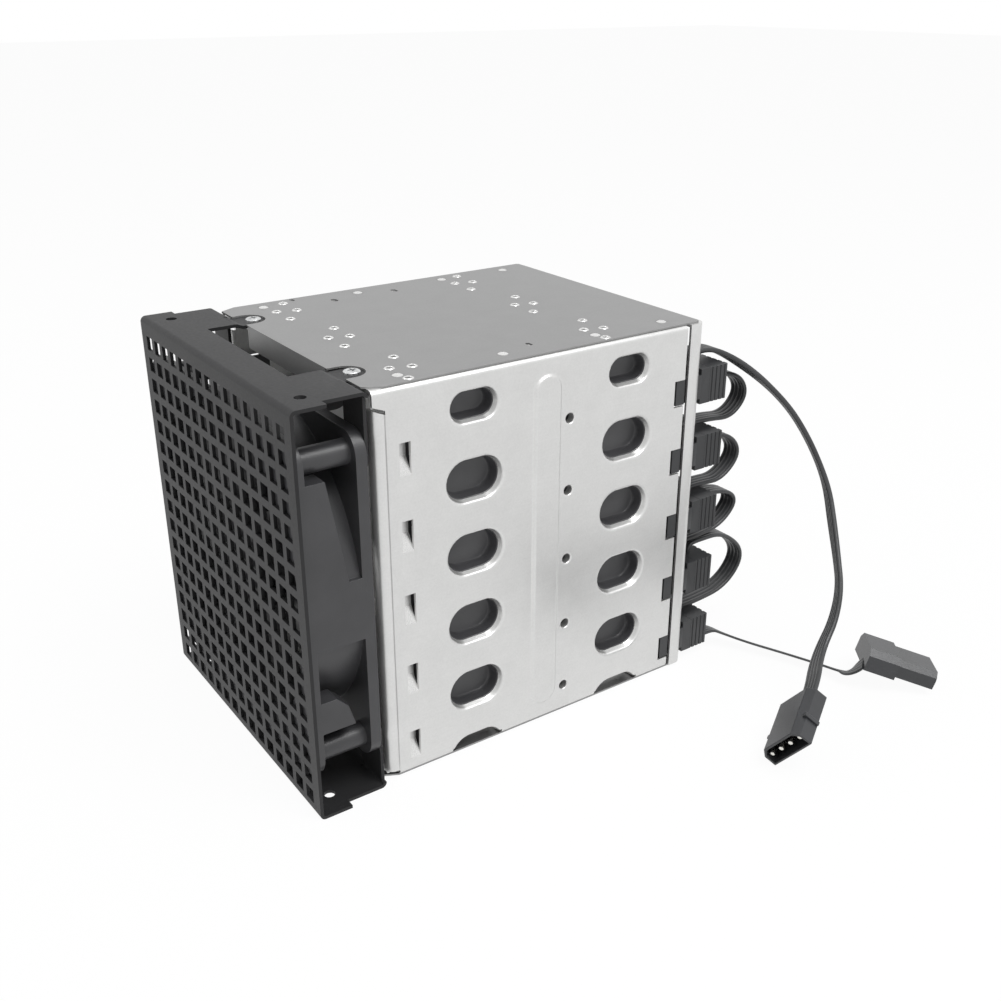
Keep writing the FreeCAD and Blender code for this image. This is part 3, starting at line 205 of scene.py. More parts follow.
def glass_epoxy_board():
    """Solder-masked glass-epoxy board: green with faintly raised tracks."""
    material, tree, place = blank("solder_masked_board")
    tracks = add(tree, "ShaderNodeTexVoronoi", {"Vector": place, "Scale": per_metre(2.6)},
                 feature="DISTANCE_TO_EDGE")
    colour = blend_colours(tree, tracks.outputs["Distance"], 0.05, 0.14, "#2f6a45", "#1c4a30")
    bump = add(tree, "ShaderNodeBump", {"Height": tracks.outputs["Distance"], "Strength": 0.2,
                                        "Distance": 0.0001})
    surface(tree, {"Base Color": colour, "Roughness": 0.35, "Normal": bump.outputs["Normal"]})
    return material


def stacked_laminations():
    """Silicon-steel stampings stacked along the shaft: thin grey layers, varnished."""
    material, tree, place = blank("varnished_laminations")
    layers = add(tree, "ShaderNodeTexWave", {"Vector": place, "Scale": per_metre(0.5) / 20}, bands_direction="Y")
    colour = blend_colours(tree, layers.outputs["Fac"], 0.1, 0.5, "#3b3c40", "#7d7f83")
    bump = add(tree, "ShaderNodeBump", {"Height": layers.outputs["Fac"], "Strength": 0.6, "Distance": 0.0001})
    surface(tree, {"Base Color": colour, "Roughness": 0.45, "Metallic": 0.8, "Normal": bump.outputs["Normal"]})
    return material


BLACK_STEEL = powder_coated_steel()
ZINC_STEEL = plated_sheet("zinc_plated_sheet", "#d2d2d1", "#dddddc", 0.36)
# Darker than the panels' zinc: the plates' broad faces carry painted shade in their colour.
ZINC_PLATE_PAINTED_SHADE = plated_sheet("zinc_plated_plate_painted_shade", "#919191", "#9c9c9c", 0.45)
# Brighter zinc for faces turned up towards the high lamp: a painted highlight, with lower roughness.
ZINC_PAINTED_HIGHLIGHT = plated_sheet("zinc_painted_highlight", "#d6d6d5", "#e8e8e7", 0.25)
SCREW_STEEL = machined("zinc_plated_screw", "#b9babb", "#dcdddd", 0.3, 0.3)
FAN_PLASTIC = moulded("moulded_black_fan_polyester", "#333335", "#3b3b3d", 0.6, 0.38, 0.0001)
CONNECTOR_PLASTIC = moulded("moulded_black_connector_nylon", "#252628", "#2d2e30", 0.5, 0.4)
PAD_PLASTIC = moulded("moulded_black_drive_guide_acetal", "#3c3c3e", "#454547", 0.7, 0.34, 0.00005)
PLUG_PLASTIC = moulded("moulded_dark_plug_nylon", "#2b2c2e", "#353639", 0.5, 0.33)
RIBBON_PVC = moulded("extruded_black_vinyl_insulation", "#2b2c2d", "#353638", 0.9, 0.36, 0.00004)
MAGNET = moulded("bonded_ferrite", "#34302d", "#433e3a", 0.4, 0.6)
SHAFT_STEEL = machined("ground_shaft_steel", "#b4b5b7", "#d0d1d2", 0.25, 0.2)
BEARING_BRONZE = machined("sintered_bronze", "#8a6a38", "#a88550", 0.3, 0.4)
LAMINATIONS = stacked_laminations()
COPPER = enamelled_winding()
BOARD = glass_epoxy_board()
CONTACT_METAL = machined("tin_plated_contact", "#cfcdc6", "#ecebe6", 0.3, 0.22)

FINISHES = {
    "black_steel": BLACK_STEEL, "zinc_steel": ZINC_STEEL, "zinc_plate": ZINC_PLATE_PAINTED_SHADE,
    "screw_steel": SCREW_STEEL, "fan_plastic": FAN_PLASTIC, "shaft_steel": SHAFT_STEEL,
    "bearing_brass": BEARING_BRONZE, "magnet": MAGNET, "laminations": LAMINATIONS,
    "coil_copper": COPPER, "board": BOARD, "connector_plastic": CONNECTOR_PLASTIC,
    "pad_plastic": PAD_PLASTIC, "plug_plastic": PLUG_PLASTIC, "contact_metal": CONTACT_METAL,
    "ribbon": RIBBON_PVC,
}


# ---- building pieces --------------------------------------------------------------------------
def finished(name, bm, slot, body="cage", replaces=(), smooth=35):
    """Turns a mesh in millimetres into a piece of the object."""
    bmesh.ops.scale(bm, vec=Vector((MM, MM, MM)), verts=bm.verts[:])
    mesh = bpy.data.meshes.new(name)
    bm.to_mesh(mesh)
    bm.free()
    mesh.materials.append(FINISHES[slot])
    mesh.polygons.foreach_set("use_smooth", [True] * len(mesh.polygons))
    mesh.set_sharp_from_angle(angle=math.radians(smooth))
    piece = bpy.data.objects.new(name, mesh)
    bpy.context.scene.collection.objects.link(piece)
    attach(piece, body)
    if replaces:
        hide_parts(*replaces)
    return piece


def thicken(piece, thickness):
    """Gives a skin its sheet thickness behind its outer face."""
    wall = piece.modifiers.new("sheet", "SOLIDIFY")
    wall.thickness = thickness * MM
    wall.offset = -1
    wall.use_even_offset = True
    return piece


def even_shading(piece):
    """Keeps flat sheet flat to the eye right up to its formed edges."""
    shading = piece.modifiers.new("shading", "WEIGHTED_NORMAL")
    shading.keep_sharp = True
    return piece


def soften(piece, width, segments=2, angle=40):
    """Small rounded edges, as on any bent, stamped or moulded part."""
    edge = piece.modifiers.new("edges", "BEVEL")
    edge.width = width * MM
    edge.segments = segments
    edge.limit_method = "ANGLE"
    edge.angle_limit = math.radians(angle)
    edge.harden_normals = True
    return piece


def dressed(node_name, slot, width, body="cage", angle=40):
    """A copy of a CAD node, merged and given rounded edges."""
    bm = bmesh.new()
    bm.from_mesh(nodes[node_name].data)
    bmesh.ops.scale(bm, vec=Vector((1, 1, 1)) / MM, verts=bm.verts[:])
    bmesh.ops.remove_doubles(bm, verts=bm.verts[:], dist=0.004)
    bmesh.ops.dissolve_limit(bm, angle_limit=math.radians(1), use_dissolve_boundaries=False,
                             verts=bm.verts[:], edges=bm.edges[:])
    piece = finished(node_name + "_finished", bm, slot, body, [node_name])
    return soften(piece, width, angle=angle)


def hollow_ring(bm, middle, radius, axis, segments=24, run=0.0, along=Y):
    """Edges of a circle round an axis, drawn out into a slot when run isn't nought."""
    turn = axis.to_track_quat("Z", "Y").to_matrix().to_4x4()
    half_step = Matrix.Rotation(math.pi / segments, 4, "Z")
    made = bmesh.ops.create_circle(bm, cap_ends=False, segments=segments, radius=radius,
                                   matrix=Matrix.Translation(middle) @ turn @ half_step)
    if run:
        for vert in made["verts"]:
            vert.co += along * math.copysign(run, (vert.co - middle).dot(along))
    return list({edge for vert in made["verts"] for edge in vert.link_edges})


def formed_ring(bm, middle, profile, axis, segments=24, run=0.0, along=Y, cap=False):
    """Rings joined into a formed lip; each has a radius and a depth below the sheet's face."""
    rings = [hollow_ring(bm, middle - axis * depth, radius, axis, segments, run, along)
             for radius, depth in profile]
    for one, two in zip(rings, rings[1:]):
        bmesh.ops.bridge_loops(bm, edges=one + two)
    if cap:
        bmesh.ops.contextual_create(bm, geom=rings[-1])
    return rings[0]


def line_loop(bm, corners):
    """Closed loop of edges through corners."""
    verts = [bm.verts.new(corner) for corner in corners]
    return [bm.edges.new(pair) for pair in zip(verts, verts[1:] + verts[:1])]


def edges_where(bm, test):
    """Open edges whose two ends pass a test."""
    return [edge for edge in bm.edges if edge.is_boundary and all(test(vert.co) for vert in edge.verts)]


def trim(bm, point, normal):
    """Cuts away what lies behind a plane."""
    bmesh.ops.bisect_plane(bm, geom=bm.verts[:] + bm.edges[:] + bm.faces[:], dist=0.0001,
                           plane_co=point, plane_no=normal, clear_inner=True)


def bend(bm, edges, centre, axis, angle, steps=5):
    """Rolls a sheet's open edge round a bend and gives the new open edge."""
    made = bmesh.ops.spin(bm, geom=edges, cent=centre, axis=axis, dvec=Vector(), angle=math.radians(angle),
                          steps=steps, use_merge=False, use_duplicate=False)
    return [part for part in made["geom_last"] if isinstance(part, bmesh.types.BMEdge)]


def drawn_out(bm, edges, step):
    """Extrudes an open edge of a sheet by one straight step."""
    made = bmesh.ops.extrude_edge_only(bm, edges=edges)
    verts = [part for part in made["geom"] if isinstance(part, bmesh.types.BMVert)]
    bmesh.ops.translate(bm, vec=Vector(step), verts=verts)
    return verts


def extruded(bm, face, keep=False):
    """Extrudes a face, gives the new one and takes the old one out unless it closes the far end."""
    made = bmesh.ops.extrude_face_region(bm, geom=[face])["geom"]
    if not keep:
        bmesh.ops.delete(bm, geom=[face], context="FACES_ONLY")
    return [part for part in made if isinstance(part, bmesh.types.BMFace)][0]


def face_out(bm, direction, test):
    """Makes all faces agree, with those that pass a test facing a direction."""
    bmesh.ops.recalc_face_normals(bm, faces=bm.faces[:])
    bm.normal_update()
    faces = [face for face in bm.faces if test(face.calc_center_median())]
    if sum(face.normal.dot(direction) * face.calc_area() for face in faces) < 0:
        bmesh.ops.reverse_faces(bm, faces=bm.faces[:])


# ---- side panels ------------------------------------------------------------------------------
SLOT_LIP = ((1.3, 0.0), (1.0, 0.0), (0.55, 0.08), (0.2, 0.34), (0.0, 0.75), (-0.35, 1.5), (-0.65, 2.1))
PAD_SECTION = ((0.5, 7.6), (0.5, 2.6), (0.35, 2.4), (-0.65, 2.3), (-0.85, 2.5), (-1.15, 5.0), (-1.35, 5.9),
               (-1.8, 6.5), (-2.6, 6.7))
RIB_SLOPE = ((6.4, 0.0), (6.1, 0.0), (5.7, -0.12), (5.2, -0.6), (4.9, -0.74), (4.4, -0.78))
SIDE_HOLE = ((2.5, 0.0), (2.25, 0.0), (1.95, 0.18), (1.8, 0.5), (1.75, 3.0))


def slots():
    """Middle, end radius and half straight run of each slot, from the cut row at the bottom up."""
    found = []
    for row in range(DRIVES + 1):
        height, length, tall = row * DRIVE_PITCH - 1.5, 22.2, 15.2
        if row == DRIVES:
            height, length, tall = height - 1.1, 18.4, 10.8
        for depth in (66.9, 132.8):
            found.append((Vector((WALL, FRONT + depth, height)), tall / 2, (length - tall) / 2))
    return found


def side_panel_skin():
    """Outer skin of the near panel: formed slots, pressed rib, lanced tabs and folded edges."""
    bm = bmesh.new()
    face, edge, rear = WALL, PANEL_LOW.y, PANEL_HIGH.y - 0.8
    low, high, below, front = 3.0, PANEL_HIGH.z - 2.0, -12.0, edge + 4.5
    outline = [(rear, below)]
    for number in range(DRIVES):
        height = 10.9 + number * DRIVE_PITCH
        outline += [(rear, height - 5.1), (rear - 4.8, height - 5.1),
                    (rear - 4.8, height + 5.1), (rear, height + 5.1)]
    outline += [(rear, high), (edge, high), (edge, high - 3.2), (front, high - 5.0), (front, high - 6.4), (front, below)]
    loops = line_loop(bm, [Vector((face, y, z)) for y, z in outline])
    for middle, radius, run in slots():
        loops += formed_ring(bm, middle, [(radius + spare, down) for spare, down in SLOT_LIP], X, 28, run)
    middle = Vector((face, FRONT + 96.5, (low + high) / 2))
    loops += formed_ring(bm, middle, RIB_SLOPE, X, 32, 59.5, Z, cap=True)
    for row in range(DRIVES):
        height = 12.0 + row * DRIVE_PITCH
        loops += formed_ring(bm, Vector((face, FRONT + 106.3, height)), SIDE_HOLE, X, 20)
        y, foot = FRONT + 40.4, height - 5.6
        window = line_loop(bm, [Vector((face, y - 2.1, foot)), Vector((face, y + 2.1, foot)),
                                Vector((face, y + 2.1, foot + 11.2)), Vector((face, y - 2.1, foot + 11.2))])
        tip = drawn_out(bm, window[:1], (-3.4, 0, 5.4))
        drawn_out(bm, [edge for edge in tip[0].link_edges if edge.other_vert(tip[0]) in tip], (0, 0, 4.6))
        loops += window
    bmesh.ops.triangle_fill(bm, use_beauty=True, edges=loops, normal=X)
    trim(bm, Vector((0, 0, low)), Z)
    lower = edges_where(bm, lambda p: p.z < low + 0.01 and p.x > face - 0.01)
    drawn_out(bm, bend(bm, lower, Vector((face - 2, 0, low)), Y, 90), (-10, 0, 0))
    upper = edges_where(bm, lambda p: p.z > high - 0.01)
    drawn_out(bm, bend(bm, upper, Vector((face - 2, 0, high)), Y, -90), (-10, 0, 0))
    lip = edges_where(bm, lambda p: p.y < front + 0.01 and low - 0.01 < p.z < high - 6.3)
    drawn_out(bm, lip, (-0.4, -0.3, 0))
    lip = edges_where(bm, lambda p: p.y < front - 0.2 and p.z < high - 6.3)
    drawn_out(bm, lip, (0, -0.6, 0))
    lip = edges_where(bm, lambda p: p.y < front - 0.8 and p.z < high - 6.3)
    bend(bm, lip, Vector((face - 4.0, front - 0.9, 0)), Z, -90, 7)
    for vert in bm.verts:
        if vert.co.y < front - 0.1 and high - 6.5 < vert.co.z < high - 6.3:
            vert.co.z += 0.4 * (front - vert.co.y)
    bmesh.ops.remove_doubles(bm, verts=bm.verts[:], dist=0.001)
    face_out(bm, X, lambda p: p.x > face - 0.01)
    return bm


def side_panels():
    for name, side in (("right_side_panel", 1), ("left_side_panel", -1)):
        bm = side_panel_skin()
        if side < 0:
            bmesh.ops.scale(bm, vec=Vector((-1, 1, 1)), verts=bm.verts[:])
            bmesh.ops.reverse_faces(bm, faces=bm.faces[:])
        panel = finished(name + "_formed", bm, "zinc_steel", replaces=[name])
        panel.data.materials.append(ZINC_PAINTED_HIGHLIGHT)
        # Up-tilted faces near the front, mostly the lanced tabs, take the brighter zinc: painted highlight where
        # the lamp catches them.
        for flap in panel.data.polygons:
            flap.material_index = int(0.4 < flap.normal.z < 0.7 and flap.center.y < (FRONT + 43) * MM)
        even_shading(soften(thicken(panel, 1.0), 0.12))


def drive_pads():
    """Moulded cups that close the slots from inside; the lowest two are cut short with their slots."""
    for name, side in (("right_drive_pads", 1), ("left_drive_pads", -1)):
        bm = bmesh.new()
        for middle, radius, run in slots():
            profile = [(radius + spare, down) for spare, down in PAD_SECTION]
            back = formed_ring(bm, middle, profile, X, 28, run, cap=True)
            bmesh.ops.contextual_create(bm, geom=back)
        trim(bm, Vector((0, 0, 3.2)), Z)
        bmesh.ops.holes_fill(bm, edges=edges_where(bm, lambda p: p.z < 3.21))
        # Dark blocks behind each side hole and lance window: painted shade, standing in for the dark inside of the
        # cage seen through them.
        for row in range(DRIVES):
            height = 12.0 + row * DRIVE_PITCH
            block(bm, (WALL - 5.2, FRONT + 103.1, height - 3.2), (WALL - 3.6, FRONT + 109.5, height + 3.2))
            block(bm, (WALL - 6.4, FRONT + 36.4, height - 6.4), (WALL - 5.0, FRONT + 44.6, height + 6.4))
        bmesh.ops.scale(bm, vec=Vector((side, 1, 1)), verts=bm.verts[:])
        bmesh.ops.recalc_face_normals(bm, faces=bm.faces[:])
        soften(finished(name + "_moulded", bm, "pad_plastic", replaces=[name]), 0.1)


# ---- mounting plates --------------------------------------------------------------------------
PLATE_SINK = 0.35
BAY_HOLE_COLLAR = ((1.85, 0.35), (1.65, 0.14), (1.4, 0.0), (1.2, 0.04), (1.08, 0.3), (1.05, 0.95))
BUTTON = ((2.5, 0.35), (2.2, 0.5), (1.8, 0.3), (1.3, 0.03), (0.7, 0.0))


def bay_hole_places():
    places = []
    for bay in (-1, 0, 1):
        for depth in (44.6, 44.6 + 79.25):
            x, y = bay * BAY_PITCH + 0.5, FRONT + depth
            places += [(x, y), (x + 12, y), (x - 10, y + 7.3), (x + 2, y + 7.3)]
    return places


def mounting_plate_skin():
    """Upper skin of a mounting plate, with its collars, pressed buttons and screw notches."""
    bm = bmesh.new()
    front, rear, half, top = PLATE_LOW.y, PLATE_HIGH.y, PLATE_HIGH.x - 0.9, PLATE_TOP - PLATE_SINK
    outline = [(half - 3.0 - 4, front - 8), (half, front + 6), (half, rear - 0.8), (half - 0.8, rear)]
    outline += [(-x, y) for x, y in reversed(outline)]
    loops = line_loop(bm, [Vector((x, y, top)) for x, y in outline])
    for x in (-38.2, 38.2):
        loops += hollow_ring(bm, Vector((x, front - 2.2, top)), 6.5, Z, 40, 5.5)
    for x, y in bay_hole_places():
        loops += formed_ring(bm, Vector((x, y, PLATE_TOP)), BAY_HOLE_COLLAR, Z, 16)
    for depth in (43.2, 83.5, 122.8, 153.6):
        for x in (-50.5, 50.5):
            loops += formed_ring(bm, Vector((x, FRONT + depth, PLATE_TOP)), BUTTON, Z, 20, cap=True)
    for x, depth, radius in ((46.2, 97.3, 0.9), (-54.8, 57.0, 0.9), (-45.4, 70.6, 1.2), (-45.8, 97.4, 1.2)):
        loops += hollow_ring(bm, Vector((x, FRONT + depth, top)), radius, Z, 12, 0.7, X)
    bmesh.ops.triangle_fill(bm, use_beauty=True, edges=loops, normal=Z)
    trim(bm, Vector((0, front, 0)), Y)
    for x in (-30.5, 30.5):
        bmesh.ops.bisect_plane(bm, geom=bm.verts[:] + bm.edges[:] + bm.faces[:], dist=0.0001,
                               plane_co=Vector((x, 0, 0)), plane_no=X)
    fold = edges_where(bm, lambda p: p.y < front + 0.01 and abs(p.x) < 30.6 and p.z > top - 0.01)
    drawn_out(bm, fold, (0, 0, -8.5))
    face_out(bm, Z, lambda p: p.y > front + 1 and p.z > top - 0.01)
    return bm


def mounting_plates():
    for name, turned in (("top_plate", False), ("bottom_plate", True)):
        bm = mounting_plate_skin()
        if turned:
            bmesh.ops.scale(bm, vec=Vector((1, 1, -1)), verts=bm.verts[:])
            bmesh.ops.translate(bm, vec=Z * PLATE_TOP, verts=bm.verts[:])
            bmesh.ops.reverse_faces(bm, faces=bm.faces[:])
        plate = finished(name + "_formed", bm, "zinc_plate", replaces=[name])
        plate.data.materials.append(ZINC_PAINTED_HIGHLIGHT)
        # Raised collar and button faces take the brighter zinc: painted highlight.
        for face in plate.data.polygons:
            height = face.center.z / MM
            face.material_index = int(max(height, PLATE_TOP - height) > PLATE_TOP - PLATE_SINK + 0.03)
        even_shading(soften(thicken(plate, 1.0 - PLATE_SINK), 0.15))


# ---- screws -----------------------------------------------------------------------------------
def cross_corners(middle, arm, half):
    """Corners of a driver cross."""
    steps = [(arm, half), (half, half), (half, arm)]
    corners = []
    for turn in range(4):
        spin = Matrix.Rotation(math.radians(90 * turn), 3, "Z")
        corners += [middle + spin @ Vector((x, y, 0)) for x, y in steps]
    return corners


def bracket_screws():
    """Pan heads with a driver cross, seated on the bracket's tabs."""
    bm = bmesh.new()
    for side in (-1, 1):
        middle = Vector((side * 38.2, FRONT + 33.6, PLATE_TOP))
        rim = formed_ring(bm, middle, ((1.9, 0.02), (2.5, 0.18), (2.85, 0.5), (2.9, 1.0)), Z, 24)
        cross = line_loop(bm, cross_corners(middle - Z * 0.02, 1.45, 0.36))
        bmesh.ops.triangle_fill(bm, use_beauty=True, edges=rim + cross, normal=Z)
        foot = drawn_out(bm, cross, (0, 0, -0.75))
        bmesh.ops.contextual_create(bm, geom=foot)
        formed_ring(bm, middle, ((2.9, 1.0), (1.45, 1.02), (1.45, 6.0)), Z, 24, cap=True)
    bmesh.ops.remove_doubles(bm, verts=bm.verts[:], dist=0.001)
    face_out(bm, Z, lambda p: p.z > PLATE_TOP - 0.3)
    lower = bmesh.ops.duplicate(bm, geom=bm.verts[:] + bm.edges[:] + bm.faces[:])["geom"]
    verts = [part for part in lower if isinstance(part, bmesh.types.BMVert)]
    faces = [part for part in lower if isinstance(part, bmesh.types.BMFace)]
    bmesh.ops.scale(bm, vec=Vector((1, 1, -1)), verts=verts)
    bmesh.ops.translate(bm, vec=Z * PLATE_TOP, verts=verts)
    bmesh.ops.reverse_faces(bm, faces=faces)
    finished("bracket_screws_cross_headed", bm, "screw_steel", replaces=["bracket_screws"])


# ---- fan --------------------------------------------------------------------------------------
FAN_FACE = FRONT + 1.2
HUB_FACE = FAN_FACE + 1.8
BLADES = 7


def rotor_hub(bm):
    """Cup with a rounded rim, turned round the shaft's line."""
    profile = ((0.0, 0.0), (19.2, 0.0), (20.3, 0.3), (20.85, 0.9), (21.0, 1.8), (21.0, 17.5),
               (19.8, 17.5), (19.8, 1.8), (0.0, 1.8))
    verts = [bm.verts.new(Vector((x, HUB_FACE + y, MIDDLE))) for x, y in profile]
    edges = [bm.edges.new(pair) for pair in zip(verts, verts[1:])]
    bmesh.ops.spin(bm, geom=verts + edges, cent=Vector((0, 0, MIDDLE)), axis=Y, dvec=Vector(),
                   angle=math.tau, steps=64, use_merge=True)


def blade_point(share, place):
    """Point on a blade's middle skin: share runs from root to tip, place along the chord."""
    radius = 20.4 + (56.3 - 20.4) * share
    along = (17.0 + 10.0 * share) * place
    lead = math.radians(42 + 18 * share)
    across = 2.6 * (1 - 4 * place * place)
    turn = math.radians(14 * share) + (along * math.sin(lead) + across * math.cos(lead)) / radius
    depth = HUB_FACE + 8.75 + along * math.cos(lead) - across * math.sin(lead)
    return Vector((radius * math.sin(turn), depth, MIDDLE + radius * math.cos(turn)))


def fan_rotor():
    """Hub and seven swept, cambered blades in one moulding."""
    bm = bmesh.new()
    rotor_hub(bm)
    made = bmesh.ops.create_grid(bm, x_segments=10, y_segments=8, size=0.5)
    for vert in made["verts"]:
        vert.co = blade_point(vert.co.y + 0.5, vert.co.x)
    skin = list({face for vert in made["verts"] for face in vert.link_faces})
    bmesh.ops.solidify(bm, geom=skin, thickness=1.2)
    blade = [vert for vert in bm.verts if (Vector((vert.co.x, 0, vert.co.z - MIDDLE))).length > 21.05
             or vert in made["verts"]]
    blade = list({vert for start in blade for face in start.link_faces for vert in face.verts})
    faces = list({face for vert in blade for face in vert.link_faces})
    for number in range(1, BLADES):
        copied = bmesh.ops.duplicate(bm, geom=faces)["geom"]
        verts = [part for part in copied if isinstance(part, bmesh.types.BMVert)]
        bmesh.ops.rotate(bm, cent=Vector((0, 0, MIDDLE)), verts=verts,
                         matrix=Matrix.Rotation(math.tau * number / BLADES, 3, "Y"))
    bmesh.ops.recalc_face_normals(bm, faces=bm.faces[:])
    rotor = finished("fan_rotor_moulded", bm, "fan_plastic", "rotor", ["fan_rotor"])
    soften(rotor, 0.25, 2, 50)


# ---- ribbons and leads ------------------------------------------------------------------------
def ribbon_section(width, thickness, cores=4):
    """Outline of a flat lead: one low round ridge for each core, on both faces."""
    top, pitch = [], width / cores
    for core in range(cores):
        for step, height in ((0.0, 0.66), (0.22, 0.92), (0.5, 1.0), (0.78, 0.92)):
            top.append(((core + step) * pitch - width / 2, height * thickness / 2))
    top[0] = (-width / 2, thickness * 0.2)
    top.append((width / 2, thickness * 0.2))
    return top + [(-u, -v) for u, v in top]


def stations(points, aims):
    """Places along a line: each has the point, its direction and the ribbon's width direction."""
    lengths = [0.0]
    for one, two in zip(points, points[1:]):
        lengths.append(lengths[-1] + (two - one).length)
    found = []
    for number, point in enumerate(points):
        before, after = points[max(number - 1, 0)], points[min(number + 1, len(points) - 1)]
        ahead = (after - before).normalized()
        share = lengths[number] / lengths[-1]
        for (start, one), (end, two) in zip(aims, aims[1:]):
            if start <= share <= end + 1e-6:
                mix = (share - start) / (end - start)
                mix = mix * mix * (3 - 2 * mix)
                aim = one.lerp(two, mix)
        across = (aim - ahead * aim.dot(ahead)).normalized()
        through = ahead.cross(across)
        found.append(Matrix((across, through, ahead)).transposed().to_4x4())
        found[-1].translation = point
    return found, lengths[-1]


def drawn_ribbon(bm, section, places):
    """Carries a section along its places, as insulation is drawn round its cores."""
    verts = [bm.verts.new(places[0] @ Vector((u, v, 0))) for u, v in section]
    cap = bm.faces.new(verts)
    for number, (here, there) in enumerate(zip(places, places[1:])):
        cap = extruded(bm, cap, keep=number == 0)
        bmesh.ops.transform(bm, matrix=there @ here.inverted(), verts=list(cap.verts))


def smooth_line(name, route):
    """Points in order along the smooth spline that has a route's points as its controls."""
    curve = bpy.data.curves.new(name, "CURVE")
    curve.dimensions = "3D"
    curve.resolution_u = 8
    spline = curve.splines.new("NURBS")
    spline.points.add(len(route) - 1)
    for point, place in zip(spline.points, route):
        point.co = (*(place * MM), 1.0)
    spline.order_u = 3
    spline.use_endpoint_u = True
    holder = bpy.data.objects.new(name, curve)
    line = bpy.data.meshes.new_from_object(holder)
    points = [vert.co / MM for vert in line.vertices]
    bpy.data.objects.remove(holder)
    bpy.data.curves.remove(curve)
    bpy.data.meshes.remove(line)
    return points


def height_of(number):
    """Middle height of a connector, counted from the top."""
    return 10.9 + (DRIVES - number) * DRIVE_PITCH


def ribbon_loops():
    """The harness between the connectors: each loop leaves one and comes back over the next."""
    one, two, three = (height_of(number) for number in (1, 2, 3))
    tops = {number: height_of(number) + 6.9 for number in range(2, 6)}
    routes = (
        ((183.4, one), (195.0, one), (204.0, one - 10), (196.0, one - 19.6), (183.0, one - 17.8),
         (171.75, one - 17.8), (171.75, tops[2])),
        ((183.4, two + 1.8), (193.5, two + 1.8), (203.0, two - 8.5), (193.5, two - 18.6),
         (182.0, two - 17.9), (171.75, two - 17.9), (171.75, tops[3])),
        ((183.4, three + 3.8), (194.5, three + 3.8), (203.5, three - 3.0), (194.5, 52.6),
         (180.0, 51.2), (171.75, 51.0), (171.75, tops[4])),
        ((176.75, tops[4]), (176.75, tops[4] + 3.4), (182.5, 48.9), (197.0, 48.6),
         (211.0, 35.5), (201.0, 22.0), (183.0, 20.0), (171.75, 20.4), (171.75, tops[5])),
    )
    section = ribbon_section(8.0, 1.7)
    for number, route in enumerate(routes, 1):
        name = "ribbon_loop_%d" % number
        points = smooth_line(name, [Vector((46.0, FRONT + y, z)) for y, z in route])
        places, length = stations(points, ((0.0, X), (1.0, X)))
        bm = bmesh.new()
        drawn_ribbon(bm, section, places)
        bmesh.ops.recalc_face_normals(bm, faces=bm.faces[:])
        finished(name + "_ribbed", bm, "ribbon", replaces=[name], smooth=50)


PLUG_AXIS, PLUG_WIDTH_WAY = Vector((0.478, -0.851, -0.220)), Vector((0.614, 0.146, 0.775))
TAIL_AXIS, TAIL_WIDTH_WAY = Vector((0.672, 0.687, -0.276)), Vector((0.735, -0.664, 0.136))
SUPPLY_END = Vector((124.7, FRONT + 168.0, 18.7))
TAIL_END = Vector((111.2, FRONT + 217.7, 13.4))
EDGE_ON, SIDEWAYS = Vector((0.57, -0.73, 0.38)), Vector((0.79, 0.61, 0.0))
LAID = Vector((0.58, -0.64, 0.5))
SUPPLY_ROUTE = [Vector((x, FRONT + y, z)) for x, y, z in (
    (46.0, 171.9, 126.4), (46.0, 171.9, 129.6), (46.1, 177.3, 130.8), (46.5, 184.2, 129.6),
    (49.8, 193.0, 124.8), (57.0, 202.0, 116.8), (64.0, 210.9, 106.0), (69.5, 216.5, 95.0),
    (75.0, 220.1, 83.5), (80.5, 220.7, 73.5), (87.0, 217.7, 62.5), (94.5, 213.5, 51.8),
    (101.5, 209.0, 41.8), (106.0, 201.9, 31.5), (108.6, 193.0, 24.0), (113.8, 184.2, 21.2),
)] + [SUPPLY_END - PLUG_AXIS * 8.0, SUPPLY_END]
TAIL_ROUTE = [Vector((x, FRONT + y, z)) for x, y, z in (
    (53.0, 183.4, 7.6), (53.0, 188.1, 7.6), (57.6, 192.9, 5.0), (66.5, 198.5, 3.2), (78.5, 204.4, 2.7),
    (89.0, 208.9, 2.5), (96.5, 211.6, 2.5), (103.3, 213.4, 2.8), (108.8, 213.6, 4.8),
)] + [TAIL_END + Vector((1.6, -2.5, -2.6))]


def free_lead(name, route, thickness, aims):
    """Free flat lead that lies along its spline."""
    points = smooth_line(name, route)
    places, length = stations(points, aims)
    bm = bmesh.new()
    drawn_ribbon(bm, ribbon_section(7.6, thickness), places)
    bmesh.ops.recalc_face_normals(bm, faces=bm.faces[:])
    lead = finished(name + "_ribbed", bm, "ribbon", replaces=[name], smooth=50)


# ---- plug and socket --------------------------------------------------------------------------
def connector_place(end, axis, width_way, entry):
    """Matrix whose Z runs along a connector, X across its width, from the middle of its rear."""
    axis = axis.normalized()
    across = (width_way - axis * width_way.dot(axis)).normalized()
    place = Matrix((across, axis.cross(across), axis)).transposed().to_4x4()
    place.translation = end - across * entry
    return place


def chamfered_bar(bm, place, width, thick, chamfer, start, end):
    """Bar with two cut corners along one broad side; gives its end face."""
    half, deep = width / 2, thick / 2
    outline = [(-half, -deep), (half, -deep), (half, deep - chamfer), (half - chamfer, deep),
               (-half + chamfer, deep), (-half, deep - chamfer)]
    foot = bm.faces.new([bm.verts.new(Vector((u, v, start))) for u, v in outline])
    top = extruded(bm, foot, keep=True)
    bmesh.ops.translate(bm, vec=Z * (end - start), verts=list(top.verts))
    return top


